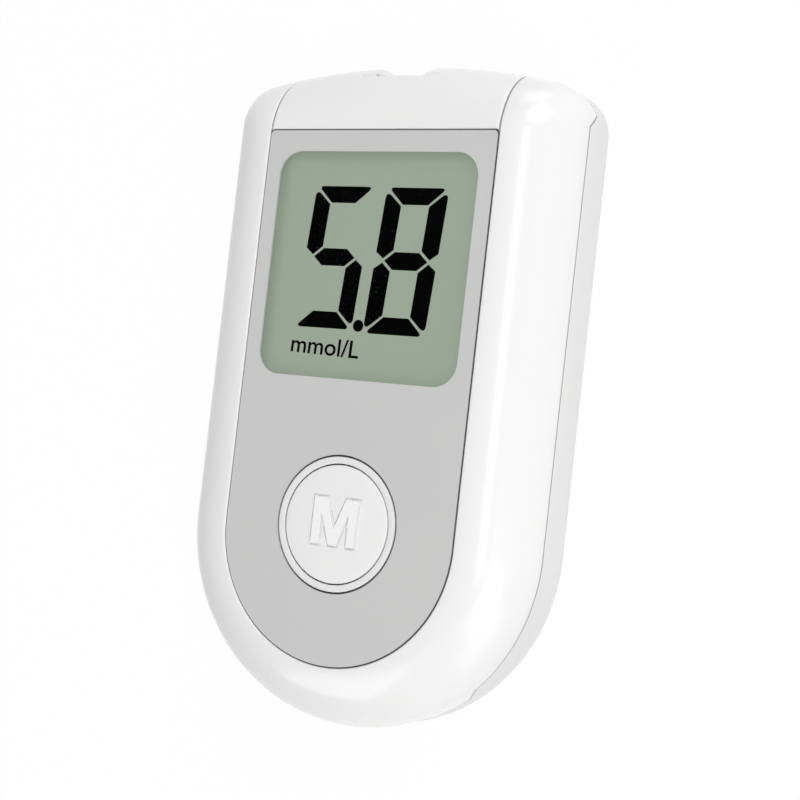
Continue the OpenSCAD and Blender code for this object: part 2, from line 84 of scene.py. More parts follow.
# The panel's recess, and a place just short of the cap behind it
PANEL_HALF_W = 17.5
PANEL_TOP_Y = 34.6
PANEL_CORNER_R = 0.6
CAP_NEAR_Y = 33.0
# The window in the panel
WINDOW_HALF_W = 15.2
WINDOW_TOP_Y = 31.6
# Gaps of the seams beside the cap, and of the seam between front and rear
SEAM_GAP = 0.18
RIM_GAP = 0.34
# A point inside the meter
INSIDE = Vector((0, 0, 6))
# How near two places lie that count as one: in a cut, on a moved mesh, and in a merge
TOUCH = 0.01
SAME_PLACE = 0.003
MERGE = 1e-4
# Angle between two faces from which their edge counts as sharp
SHARP_ANGLE = math.radians(34)
# Facets round a small, a middling and a large circle
SMALL_FACETS = 48
ROUND_FACETS = 96
LARGE_FACETS = 128
# Span that holds most of the values of a noise
NOISE_SPAN = (0.3, 0.7)

Point = tuple[float, float]
Place = tuple[float, float, float]
Span = tuple[float, float, float, float]


class Body(Enum):
    """Bodies of the part that the pieces ride on."""

    HOUSING = "housing"
    BUTTON = "button"
    DOOR = "door"


class Axis(Enum):
    """Directions that a cutting plane may face."""

    X = (1.0, 0.0, 0.0)
    Y = (0.0, 1.0, 0.0)
    Z = (0.0, 0.0, 1.0)


# ---------- finishes ----------


def linear(colour: str) -> tuple[float, float, float, float]:
    """Turns an sRGB hex colour to linear values.

    Args:
        colour: Six hex digits after a hash.

    Returns:
        Red, green, blue and alpha as Blender's sockets take them.
    """
    values = []
    for k in (1, 3, 5):
        c = int(colour[k : k + 2], 16) / 255
        values.append(c / 12.92 if c <= 0.04045 else ((c + 0.055) / 1.055) ** 2.4)
    return (*values, 1.0)


def add_node(
    tree: bpy.types.NodeTree,
    kind: str,
    settings: dict[str | int, object] | None = None,
    links: dict[str | int, bpy.types.NodeSocket] | None = None,
) -> bpy.types.Node:
    """Adds a node with its settings and its incoming links.

    Args:
        tree: Node tree that takes the node.
        kind: Blender's type name of the node.
        settings: Values by input name, input number or property name.
        links: Output sockets by input name or input number.

    Returns:
        The new node.
    """
    node = tree.nodes.new(kind)
    for name, value in (settings or {}).items():
        if isinstance(name, int) or name in node.inputs:
            node.inputs[name].default_value = value
        else:
            setattr(node, name, value)
    for name, socket in (links or {}).items():
        tree.links.new(socket, node.inputs[name])
    return node


def empty_material(name: str) -> bpy.types.Material:
    """Makes a node material with no nodes in it.

    Args:
        name: Name of the material.

    Returns:
        The material.
    """
    material = bpy.data.materials.new(name)
    material.use_nodes = True
    material.node_tree.nodes.clear()
    return material


def noise_at(
    tree: bpy.types.NodeTree, size_mm: float, detail: float = 2.0
) -> bpy.types.Node:
    """Adds a noise whose blotches are about as wide as a real size.

    Args:
        tree: Node tree that takes the nodes.
        size_mm: Width of a blotch in millimetres.
        detail: Octaves of finer detail.

    Returns:
        The noise node, on Object coordinates.
    """
    place = add_node(tree, "ShaderNodeTexCoord")
    return add_node(
        tree,
        "ShaderNodeTexNoise",
        {"Scale": 1 / (size_mm * MM), "Detail": detail, "Roughness": 0.55},
        {"Vector": place.outputs["Object"]},
    )


@dataclass(frozen=True)
class Finish:
    """A finish with a shader, a fine surface relief and a broad unevenness.

    Colour and roughness vary between two near values over blotches of a real
    size, and a bump gives the relief that the making leaves on the surface.
    """

    name: str
    colour: str
    second: str
    roughness: tuple[float, float]
    blotch_mm: float
    grain_mm: float
    relief_mm: float
    shader: tuple[tuple[str, float], ...] = ()

    def material(self) -> bpy.types.Material:
        """Makes the material, or gives the one that was made before.

        Returns:
            The material.
        """
        found = bpy.data.materials.get(self.name)
        if found is not None:
            return found
        made = empty_material(self.name)
        tree = made.node_tree
        tint = self.tint(tree)
        fine = self.pattern(tree)
        ends = ("From Min", "From Max", "To Min", "To Max")
        sheen = add_node(
            tree,
            "ShaderNodeMapRange",
            dict(zip(ends, (*NOISE_SPAN, *self.roughness))),
            {"Value": fine},
        )
        bump = add_node(
            tree,
            "ShaderNodeBump",
            {"Strength": 1.0, "Distance": self.relief_mm * MM},
            {"Height": fine},
        )
        shader = add_node(
            tree,
            "ShaderNodeBsdfPrincipled",
            dict(self.shader),
            {
                "Base Color": tint,
                # The emission takes the colour. Only the display cell's finish gives it a
                # strength, as a painted glow
                "Emission Color": tint,
                "Roughness": sheen.outputs["Result"],
                "Normal": bump.outputs["Normal"],
            },
        )
        add_node(
            tree, "ShaderNodeOutputMaterial", links={"Surface": shader.outputs["BSDF"]}
        )
        return made

    def tint(self, tree: bpy.types.NodeTree) -> bpy.types.NodeSocket:
        """Adds the blotches of colour.

        Args:
            tree: Node tree that takes the nodes.

        Returns:
            Their colour.
        """
        return add_node(
            tree,
            "ShaderNodeMix",
            {"data_type": "RGBA", 6: linear(self.colour), 7: linear(self.second)},
            {0: noise_at(tree, self.blotch_mm).outputs["Fac"]},
        ).outputs[2]

    def pattern(self, tree: bpy.types.NodeTree) -> bpy.types.NodeSocket:
        """Adds the fine pattern of the surface and gives its height."""
        return noise_at(tree, self.grain_mm, detail=3.0).outputs["Fac"]


@dataclass(frozen=True)
class PaintedShadeCell(Finish):
    """A display cell with painted shade: its colour is darker along the window's left and far
    edges, where the panel's edge would shade it.
    """

    left_x: float = -WINDOW_HALF_W
    far_y: float = WINDOW_TOP_Y
    # Reach of the painted shade in from each edge, and its level at the edge
    shade_reach_mm: float = 1.3
    edge_shade_level: float = 0.9

    def painted_shade_ramp(
        self, tree: bpy.types.NodeTree, way: bpy.types.NodeSocket, edge: float, inner: float
    ) -> bpy.types.NodeSocket:
        """Adds the ramp of the painted shade along one axis.

        Args:
            tree: Node tree that takes the nodes.
            way: Object coordinate along the axis.
            edge: Place of the window's edge in millimetres.
            inner: Place where the fall ends.

        Returns:
            Brightness factor of the painted shade, 1 away from the edge.
        """
        low, high = sorted(((edge * MM, self.edge_shade_level), (inner * MM, 1.0)))
        return add_node(
            tree,
            "ShaderNodeMapRange",
            {"From Min": low[0], "From Max": high[0], "To Min": low[1], "To Max": high[1]},
            {"Value": way},
        ).outputs["Result"]

    def tint(self, tree: bpy.types.NodeTree) -> bpy.types.NodeSocket:
        """Paints shade on the blotches of colour beside the two edges.

        Args:
            tree: Node tree that takes the nodes.

        Returns:
            The colour with its painted shade.
        """
        place = add_node(
            tree, "ShaderNodeSeparateXYZ",
            links={0: add_node(tree, "ShaderNodeTexCoord").outputs["Object"]},
        )
        across = self.painted_shade_ramp(tree, place.outputs["X"], self.left_x, self.left_x + self.shade_reach_mm)
        along = self.painted_shade_ramp(tree, place.outputs["Y"], self.far_y, self.far_y - self.shade_reach_mm)
        level = add_node(
            tree, "ShaderNodeMath", {"operation": "MULTIPLY"}, {0: across, 1: along}
        )
        return add_node(
            tree, "ShaderNodeVectorMath", {"operation": "MULTIPLY"},
            {0: super().tint(tree), 1: level.outputs[0]},
        ).outputs[0]


@dataclass(frozen=True)
class RolledMetal(Finish):
    """A metal drawn or rolled in one direction: fine lines along Y."""

    drawn_scale: Place = (1.0, 0.06, 1.0)

    def pattern(self, tree: bpy.types.NodeTree) -> bpy.types.NodeSocket:
        """Adds a noise that is drawn out along Y.

        Args:
            tree: Node tree that takes the nodes.

        Returns:
            Its height.
        """
        place = add_node(tree, "ShaderNodeTexCoord")
        drawn = add_node(
            tree,
            "ShaderNodeMapping",
            {"Scale": self.drawn_scale},
            {"Vector": place.outputs["Object"]},
        )
        return add_node(
            tree,
            "ShaderNodeTexNoise",
            {"Scale": 1 / (self.grain_mm * MM), "Detail": 2.0},
            {"Vector": drawn.outputs["Vector"]},
        ).outputs["Fac"]


@dataclass(frozen=True)
class WovenLaminate(Finish):
    """Glass cloth laminate under solder resist: a square weave shows through."""

    def pattern(self, tree: bpy.types.NodeTree) -> bpy.types.NodeSocket:
        """Adds the weave as a fine chequer of rounded threads.

        Args:
            tree: Node tree that takes the nodes.

        Returns:
            Its height.
        """
        place = add_node(tree, "ShaderNodeTexCoord")
        return add_node(
            tree,
            "ShaderNodeTexVoronoi",
            {"Scale": 1 / (self.grain_mm * MM), "Randomness": 0.15},
            {"Vector": place.outputs["Object"]},
        ).outputs["Distance"]


# Shader values that finishes share: of glossy ABS, of dull surfaces, of bare metals
ABS_SHEEN = (("IOR", 1.5), ("Specular IOR Level", 0.4))
DULL_SHEEN = (("Specular IOR Level", 0.2),)
METAL_SHEEN = (("Metallic", 1.0),)

# Polished ABS, injection moulded: glossy white with a faint orange peel
GLOSS_ABS = Finish(
    "abs_white_gloss", "#EEEEEE", "#F0F0EF", roughness=(0.17, 0.21),
    blotch_mm=16.0, grain_mm=1.6, relief_mm=0.0015, shader=ABS_SHEEN,
)
# The same ABS from a softer polished tool: a little less glossy
SATIN_ABS = Finish(
    "abs_white_satin", "#EDEDED", "#EFEFEE", roughness=(0.32, 0.38),
    blotch_mm=12.0, grain_mm=1.0, relief_mm=0.0012, shader=ABS_SHEEN,
)
# ABS of the trim ring, a shade greyer than the button
RING_ABS = Finish(
    "abs_white_ring", "#E6E6E6", "#E9E9E8", roughness=(0.3, 0.36),
    blotch_mm=12.0, grain_mm=1.0, relief_mm=0.0012, shader=ABS_SHEEN,
)
# The button's embossed letter, the whitest ABS of the meter: a whiter copy of the button's
# ABS, as painted light on its raised top
LETTER_LIT_ABS = Finish(
    "abs_white_letter_painted_light", "#F5F5F5", "#F6F6F6", roughness=(0.3, 0.36),
    blotch_mm=6.0, grain_mm=0.6, relief_mm=0.001, shader=ABS_SHEEN,
)
# ABS from a spark eroded tool: fine even grain that breaks up the gloss
GRAINED_ABS = Finish(
    "abs_white_grained", "#E0E0E0", "#E4E4E3", roughness=(0.42, 0.52),
    blotch_mm=12.0, grain_mm=0.35, relief_mm=0.006, shader=ABS_SHEEN,
)
# Polycarbonate face film, printed grey behind and satin in front
FACE_FILM = Finish(
    "polycarbonate_film_grey", "#C8C8C8", "#CBCBCA", roughness=(0.4, 0.46),
    blotch_mm=18.0, grain_mm=0.3, relief_mm=0.0008,
    shader=(("IOR", 1.58), ("Specular IOR Level", 0.3)),
)
# Acrylic foam tape that holds the film: dark grey with fine open cells. Where it shows in the
# gaps round the film, the ring and the window, its dark grey also stands in as painted shade
FOAM_TAPE_GAP_SHADE = Finish(
    "acrylic_foam_dark_gap_shade", "#4C4C4D", "#565657", roughness=(0.7, 0.8),
    blotch_mm=3.0, grain_mm=0.06, relief_mm=0.01, shader=DULL_SHEEN,
)
# Mid grey, matt strip a little way down in the seams of the housing: painted shade that
# darkens the seam lines
SEAM_SHADE_GREY = Finish(
    "seam_painted_shade_grey", "#9A9A9A", "#A0A0A0", roughness=(0.6, 0.7),
    blotch_mm=4.0, grain_mm=0.2, relief_mm=0.002, shader=DULL_SHEEN,
)
# Liquid crystal cell, grey green. It glows in its own colour as painted light, which evens out
# the shade in the window's recess, and it takes painted shade along the window's left and far
# edges
LCD_GLOW_AND_SHADE = PaintedShadeCell(
    "lcd_green_painted_glow_shade", "#5B6358", "#5D655A", roughness=(0.45, 0.55),
    blotch_mm=20.0, grain_mm=0.12, relief_mm=0.0,
    shader=(("Specular IOR Level", 0.2), ("Emission Strength", 2.09)),
)
# Cut acrylic: clear window with a very slight haze
CLEAR_ACRYLIC = Finish(
    "acrylic_clear", "#1C1E1C", "#242624", roughness=(0.08, 0.12),
    blotch_mm=20.0, grain_mm=2.0, relief_mm=0.0002,
    shader=(("Alpha", 0.02), ("IOR", 1.49), ("Specular IOR Level", 0.25)),
)
# Liquid crystal segments switched dark: near black and matt behind the polariser
LCD_DARK = Finish(
    "lcd_segment_dark", "#020303", "#040404", roughness=(0.5, 0.6),
    blotch_mm=6.0, grain_mm=0.12, relief_mm=0.0, shader=(("Specular IOR Level", 0.0),),
)
# White opaque polystyrene film behind the display
BACKING_FILM = Finish(
    "polystyrene_film_white", "#E9E9E6", "#DEDEDA", roughness=(0.5, 0.6),
    blotch_mm=6.0, grain_mm=0.2, relief_mm=0.001,
)
# Natural ABS of the hidden carrier, straight from the tool
HOLDER_ABS = Finish(
    "abs_natural", "#DAD8CE", "#E2E0D7", roughness=(0.4, 0.5),
    blotch_mm=9.0, grain_mm=0.5, relief_mm=0.004,
)
# Conductive silicone, layered black and grey
STRIP_SILICONE = Finish(
    "silicone_conductive", "#3A3A3C", "#77777A", roughness=(0.6, 0.75),
    blotch_mm=0.4, grain_mm=0.1, relief_mm=0.004,
)
# Glass filled nylon: black with a dry, fine grain
BLACK_NYLON = Finish(
    "nylon_black", "#151516", "#1F1F20", roughness=(0.42, 0.55),
    blotch_mm=3.0, grain_mm=0.18, relief_mm=0.006,
)
# Epoxy moulding compound of chip packages: dark grey and matt
CHIP_EPOXY = Finish(
    "epoxy_moulding_black", "#1B1B1C", "#242425", roughness=(0.55, 0.65),
    blotch_mm=2.0, grain_mm=0.08, relief_mm=0.002,
)
# Glass epoxy laminate under green solder resist
BOARD_LAMINATE = WovenLaminate(
    "epoxy_laminate_green", "#0E5A36", "#17714A", roughness=(0.28, 0.4),
    blotch_mm=5.0, grain_mm=0.5, relief_mm=0.01,
)
# Tin plated steel can, drawn
TIN_PLATE = RolledMetal(
    "steel_tin_plated", "#C9CACB", "#B9BBBD", roughness=(0.22, 0.36),
    blotch_mm=4.0, grain_mm=0.08, relief_mm=0.002, shader=METAL_SHEEN,
)
# Gold flash over nickel on spring bronze
GOLD_PLATE = RolledMetal(
    "bronze_gold_plated", "#E3BE6B", "#D8AE58", roughness=(0.2, 0.32),
    blotch_mm=3.0, grain_mm=0.06, relief_mm=0.002, shader=METAL_SHEEN,
)
# Nickel plated stainless can of the coin cell, brushed by tumbling
CELL_STEEL = RolledMetal(
    "steel_nickel_plated", "#CDCCC8", "#BEBDB9", roughness=(0.24, 0.38),
    blotch_mm=5.0, grain_mm=0.09, relief_mm=0.002, shader=METAL_SHEEN,
)
# Zinc plated screw steel with a faint blue passivation
SCREW_STEEL = Finish(
    "steel_zinc_plated", "#B9BEC6", "#A9AFB8", roughness=(0.28, 0.42),
    blotch_mm=1.5, grain_mm=0.15, relief_mm=0.003, shader=METAL_SHEEN,
)


# ---------- mesh ways ----------


def mix(a: float, b: float, t: float) -> float:
    """Gives the value on the way from a to b."""
    return a + (b - a) * t


def fillet(r: float, steps: int = 4) -> list[float]:
    """Gives the ways from an edge at which a quarter round takes its steps."""
    return [r - r * math.sin(math.pi / 2 * k / steps) for k in range(steps + 1)]


def tube(inner_r: float, outer_r: float, low_z: float, high_z: float) -> list[Point]:
    """Gives the profile of a tube, or of a disc where the inner radius is 0."""
    return [(inner_r, low_z), (outer_r, low_z), (outer_r, high_z), (inner_r, high_z)]


def ring(bm: BMesh, points: Sequence[Point], z: float) -> list[BMVert]:
    """Makes a closed ring of edges through points at one level.

    Args:
        bm: Mesh that takes the ring.
        points: Places along X and Y, in order.
        z: Level of the ring.

    Returns:
        The ring's vertices in order.
    """
    made = bmesh.ops.create_circle(bm, segments=len(points), radius=1)["verts"]
    for vert, (x, y) in zip(made, points):
        vert.co = (x, y, z)
    return made


def edges_of(verts: Iterable[BMVert]) -> list[BMEdge]:
    """Gives the edges that join vertices of one ring."""
    held = dict.fromkeys(verts)
    return list(
        dict.fromkeys(e for v in held for e in v.link_edges if e.other_vert(v) in held)
    )


def loft(bm: BMesh, rings: Sequence[tuple[Sequence[Point], float]]) -> None:
    """Skins a stack of rings that share their number of points.

    Args:
        bm: Mesh that takes the skin.
        rings: Points and level of each ring, in order.
    """
    last = ring(bm, *rings[0])
    for points, z in rings[1:]:
        grown = bmesh.ops.extrude_edge_only(bm, edges=edges_of(last))["geom"]
        fresh = {v for v in grown if isinstance(v, BMVert)}
        last = [next(v for e in old.link_edges for v in e.verts if v in fresh) for old in last]
        for vert, (x, y) in zip(last, points):
            vert.co = (x, y, z)


def split(
    bm: BMesh,
    axis: Sequence[float],
    place: Sequence[float],
    within: Callable[[Vector], bool] = lambda centre: True,
) -> None:
    """Cuts a mesh along a plane, in the region that is asked for.

    Args:
        bm: Mesh to cut.
        axis: Direction that the plane faces.
        place: A point of the plane.
        within: Tells by its centre whether a face is cut.
    """
    faces = [f for f in bm.faces if within(f.calc_center_median())]
    edges = dict.fromkeys(e for f in faces for e in f.edges)
    verts = dict.fromkeys(v for f in faces for v in f.verts)
    bmesh.ops.bisect_plane(
        bm,
        geom=[*verts, *edges, *faces],
        dist=TOUCH,
        plane_co=place,
        plane_no=axis,
        use_snap_center=True,
    )


def keep(bm: BMesh, wanted: Callable[[Vector], bool]) -> None:
    """Deletes the faces whose centre isn't wanted."""
    gone = [f for f in bm.faces if not wanted(f.calc_center_median())]
    bmesh.ops.delete(bm, geom=gone, context="FACES")


def face_outwards(bm: BMesh) -> None:
    """Turns an open skin so that most of its area faces away from the inside.

    Args:
        bm: The open skin.
    """
    bmesh.ops.recalc_face_normals(bm, faces=bm.faces)
    total = sum(
        f.calc_area() * f.normal.dot((f.calc_center_median() - INSIDE).normalized())
        for f in bm.faces
    )
    if total < 0:
        bmesh.ops.reverse_faces(bm, faces=bm.faces)


def circle_ring(
    bm: BMesh, x: float, y: float, z: float, r: float, segments: int = ROUND_FACETS
) -> list[BMVert]:
    """Makes an upright circle of edges and gives its vertices."""
    return bmesh.ops.create_circle(
        bm, segments=segments, radius=r, matrix=Matrix.Translation((x, y, z))
    )["verts"]


def round_corners(
    bm: BMesh, corners: Sequence[BMVert], r: float, segments: int
) -> list[BMVert]:
    """Rounds corners of a flat figure by a radius, and gives the new vertices."""
    return bmesh.ops.bevel(
        bm, geom=corners, offset=r, offset_type="OFFSET", segments=segments,
        profile=0.5, affect="VERTICES", material=-1,
    )["verts"]


def round_rect_ring(bm: BMesh, span: Span, z: float, r: float) -> list[BMVert]:
    """Makes a rectangle of edges with round corners.

    Args:
        bm: Mesh that takes the ring.
        span: Lowest x, lowest y, highest x and highest y.
        z: Level of the ring.
        r: Corner radius.

    Returns:
        The ring's vertices.
    """
    x0, y0, x1, y1 = span
    corners = ring(bm, [(x0, y0), (x1, y0), (x1, y1), (x0, y1)], z)
    face = bmesh.ops.contextual_create(bm, geom=corners)["faces"]
    bent = round_corners(bm, corners, r, segments=12)
    held = dict.fromkeys(v for f in face if f.is_valid for v in f.verts)
    held |= dict.fromkeys(v for v in bent if v.is_valid)
    flat = [f for f in bm.faces if all(v in held for v in f.verts)]
    bmesh.ops.delete(bm, geom=flat, context="FACES_ONLY")
    return list(held)


def fill_up(bm: BMesh, edges: Iterable[BMEdge], height: float) -> None:
    """Fills a flat figure of rings, and raises it to a closed plate.

    Args:
        bm: Mesh that holds the rings.
        edges: Edges of the outer ring and of the holes.
        height: Way up from the rings to the plate's other face.
    """
    filled = bmesh.ops.triangle_fill(
        bm, edges=list(edges), use_beauty=True, use_dissolve=False
    )
    faces = [f for f in filled["geom"] if isinstance(f, BMFace)]
    raised = bmesh.ops.extrude_face_region(bm, geom=faces, use_keep_orig=True)["geom"]
    bmesh.ops.translate(
        bm, vec=(0, 0, height), verts=[v for v in raised if isinstance(v, BMVert)]
    )
    bmesh.ops.recalc_face_normals(bm, faces=bm.faces)


def turned(
    bm: BMesh,
    centre: Point,
    corners: Sequence[Point],
    fillets: dict[int, float] | None = None,
    steps: int = LARGE_FACETS,
) -> None:
    """Turns a closed profile round an upright axis.

    Args:
        bm: Mesh that takes the turned form.
        centre: Place of the axis along X and Y.
        corners: Radius and level of the profile's corners, in order.
        fillets: Radius of the rounding at a corner, by the corner's number.
        steps: Facets round the axis.
    """
    part = bmesh.new()
    verts = bmesh.ops.create_circle(part, segments=len(corners), radius=1)["verts"]
    for vert, (r, z) in zip(verts, corners):
        vert.co = (r, 0, z)
    bmesh.ops.edgeloop_fill(part, edges=part.edges)
    for k, size in (fillets or {}).items():
        round_corners(part, [verts[k]], size, segments=4)
    bmesh.ops.delete(part, geom=list(part.faces), context="FACES_ONLY")
    on_axis = [e for e in part.edges if all(v.co.x < TOUCH for v in e.verts)]
    bmesh.ops.delete(part, geom=on_axis, context="EDGES")
    bmesh.ops.spin(
        part, geom=[*part.verts, *part.edges], cent=(0, 0, 0), axis=(0, 0, 1),
        dvec=(0, 0, 0), angle=2 * math.pi, steps=steps, use_merge=True,
    )
    bmesh.ops.remove_doubles(part, verts=part.verts, dist=MERGE)
    bmesh.ops.recalc_face_normals(part, faces=part.faces)
    bmesh.ops.translate(part, verts=part.verts, vec=(*centre, 0))
    join(bm, part)


def join(bm: BMesh, part: BMesh) -> None:
    """Adds another mesh as an island.

    Args:
        bm: Mesh that takes the island.
        part: The other mesh, freed by this.
    """
    held = bpy.data.meshes.new("island")
    part.to_mesh(held)
    part.free()
    bm.from_mesh(held)
    bpy.data.meshes.remove(held)


def box(bm: BMesh, low: Place, high: Place) -> None:
    """Makes a box between two corners.

    Args:
        bm: Mesh that takes the box.
        low: Its lowest corner.
        high: Its highest corner.
    """
    size = [b - a for a, b in zip(low, high)]
    middle = [(a + b) / 2 for a, b in zip(low, high)]
    place = Matrix.Translation(middle) @ Matrix.Diagonal((*size, 1))
    bmesh.ops.create_cube(bm, size=1, matrix=place)


def mesh_object(bm: BMesh, name: str) -> bpy.types.Object:
    """Turns a mesh in millimetres to a smooth shaded object in metres.

    Args:
        bm: Mesh in millimetres, freed by this.
        name: Name of the object.

    Returns:
        The object, at the origin.
    """
    bmesh.ops.scale(bm, vec=(MM, MM, MM), verts=bm.verts)
    for face in bm.faces:
        face.smooth = True
    mesh = bpy.data.meshes.new(name)
    bm.to_mesh(mesh)
    bm.free()
    made = bpy.data.objects.new(name, mesh)
    bpy.context.scene.collection.objects.link(made)
    return made


def settle(obj: bpy.types.Object) -> None:
    """Makes the result of an object's modifiers its own mesh.

    Args:
        obj: Object with live modifiers.
    """
    graph = bpy.context.evaluated_depsgraph_get()
    mesh = bpy.data.meshes.new_from_object(obj.evaluated_get(graph))
    obj.modifiers.clear()
    obj.data = mesh


def carve(obj: bpy.types.Object, tools: BMesh) -> None:
    """Cuts closed forms out of an object.

    Args:
        obj: Object with a closed mesh.
        tools: Closed forms in millimetres, freed by this.
    """
    bmesh.ops.recalc_face_normals(tools, faces=tools.faces)
    cutter = mesh_object(tools, "carving_tool")
    step = obj.modifiers.new("carve", "BOOLEAN")
    step.operation = "DIFFERENCE"
    step.solver = "EXACT"
    step.object = cutter
    settle(obj)
    bpy.data.objects.remove(cutter)


def merge(obj: bpy.types.Object, part: bpy.types.Object) -> None:
    """Takes another object's mesh in as an island.

    Args:
        obj: Object that takes the island.
        part: The other object, removed by this.
    """
    bm = bmesh.new()
    bm.from_mesh(obj.data)
    bm.from_mesh(part.data)
    bm.to_mesh(obj.data)
    bm.free()
    bpy.data.objects.remove(part)


def rim_moves(
    bm: BMesh, r: float, reach: Callable[[Vector], float]
) -> list[tuple[Vector, Vector]]:
    """Works out how the points near a skin's rims move to round them.

    Args:
        bm: Open skin with its normals outwards.
        r: Radius of the rounding in millimetres.
        reach: Gives the way of a point from the nearest rim.

    Returns:
        Place and move of each point that moves.
    """
    bm.normal_update()
    moves = []
    for vert in bm.verts:
        way = max(0.0, reach(vert.co))
        if way < r - MERGE:
            drop = r - math.sqrt(r * r - (r - way) ** 2)
            steep = vert.co.z < FACE_Z - EDGE_H
            normal = Vector((*vert.normal.xy, 0)).normalized() if steep else vert.normal
            moves.append((vert.co.copy(), -drop * normal))
    return moves


def push(obj: bpy.types.Object, moves: Sequence[tuple[Vector, Vector]]) -> None:
    """Moves the points of an object that lie at given places.

    Args:
        obj: Object to change.
        moves: Place and move of each point, in millimetres.
    """
    tree = KDTree(len(moves))
    for number, (place, _) in enumerate(moves):
        tree.insert(place * MM, number)
    tree.balance()
    for vert in obj.data.vertices:
        _, number, gap = tree.find(vert.co)
        if gap < SAME_PLACE * MM:
            vert.co += moves[number][1] * MM


def wall(obj: bpy.types.Object, thickness: float) -> None:
    """Gives a skin a wall on its inner side.

    Args:
        obj: The skin.
        thickness: Thickness of the wall in millimetres.
    """
    step = obj.modifiers.new("wall", "SOLIDIFY")
    step.thickness = thickness * MM
    step.offset = -1


def crisp(obj: bpy.types.Object) -> None:
    """Keeps the shading of flat faces apart at sharp edges."""
    obj.data.set_sharp_from_angle(angle=SHARP_ANGLE)


def soften(obj: bpy.types.Object, width: float, segments: int = 3) -> None:
    """Rounds the sharp edges of an object.

    Args:
        obj: Object with sharp edges.
        width: Width of the rounding in millimetres.
        segments: Steps of the rounding.
    """
    step = obj.modifiers.new("soften", "BEVEL")
    step.limit_method = "ANGLE"
    step.angle_limit = SHARP_ANGLE
    step.width = width * MM
    step.segments = segments
    step.profile = 0.5
    step.harden_normals = True
    step.use_clamp_overlap = True


# ---------- sub-assemblies ----------


@dataclass
class SubAssembly:
    """A group of pieces that are built, dressed and reported together."""

    pieces: dict[str, bpy.types.Object] = field(default_factory=dict, init=False)

    def add(
        self,
        obj: bpy.types.Object,
        finish: Finish,
        slot: str,
        *nodes: str,
        body: Body = Body.HOUSING,
    ) -> None:
        """Dresses a piece, ties it to its body and hides the CAD nodes that it stands for.

        Args:
            obj: The finished piece.
            finish: Finish of its surface.
            slot: Name of a material slot of the record; not used.
            nodes: CAD nodes that it stands for.
            body: Body that it rides on.
        """
        obj.data.materials.clear()
        obj.data.materials.append(finish.material())
        if nodes:
            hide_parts(*nodes)
        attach(obj, body.value)
        self.pieces[obj.name] = obj

    def report(self) -> None:
        """Logs each piece of the group."""
        for name, obj in self.pieces.items():
            LOG.info("%s: %s, %d faces", type(self).__name__, name, len(obj.data.polygons))


@dataclass(frozen=True)
class Outline:
    """Closed outline of the meter at one level.

    It has a half round end, straight sides, two round corners and a crowned far
    edge. All outlines have the same number of points.
    """

    half_w: float
    end_r: float
    top_y: float
    fall: float
    corner_r: float

    ARC_STEPS = 120
    SIDE_STEPS = 12
    CORNER_STEPS = 20
    CROWN_STEPS = 60

    @classmethod
    def panel(cls, play: float) -> "Outline":
        """Gives the outline of the panel's recess, drawn in by a play."""
        half_w = PANEL_HALF_W - play
        return cls(half_w, half_w, PANEL_TOP_Y - play, 0.0, PANEL_CORNER_R)

    def crown_y(self, x: float) -> float:
        """Place along Y of the crowned edge at x."""
        return self.top_y - self.fall * (x / self.half_w) ** 2

    def points(self) -> list[Point]:
        """Works out the points in order, from the left end of the half round.

        Returns:
            Their places along X and Y.
        """
        half_w, r = self.half_w, self.corner_r
        # The corner ends where it leans as the crown does, found in two passes
        slope = 2 * self.fall / half_w**2
        lean = math.atan(slope * (half_w - r))
        lean = math.atan(slope * (half_w - r + r * math.sin(lean)))
        crown_x = half_w - r + r * math.sin(lean)
        corner_y = self.crown_y(crown_x) - r * math.cos(lean)
        turn = math.pi / 2 - lean
        arc = [
            (half_w * math.cos(a), ARC_Y + self.end_r * math.sin(a))
            for k in range(self.ARC_STEPS + 1)
            for a in [math.pi * (1 + k / self.ARC_STEPS)]
        ]
        side = [
            (half_w, ARC_Y + (corner_y - ARC_Y) * k / self.SIDE_STEPS)
            for k in range(1, self.SIDE_STEPS)
        ]
        corner = [
            (half_w - r + r * math.cos(a), corner_y + r * math.sin(a))
            for k in range(self.CORNER_STEPS + 1)
            for a in [turn * k / self.CORNER_STEPS]
        ]
        crown = [
            (x, self.crown_y(x))
            for k in range(1, self.CROWN_STEPS)
            for x in [crown_x * (1 - 2 * k / self.CROWN_STEPS)]
        ]
        mirrored = [(-x, y) for x, y in reversed(side + corner)]
        return arc + side + corner + crown + mirrored


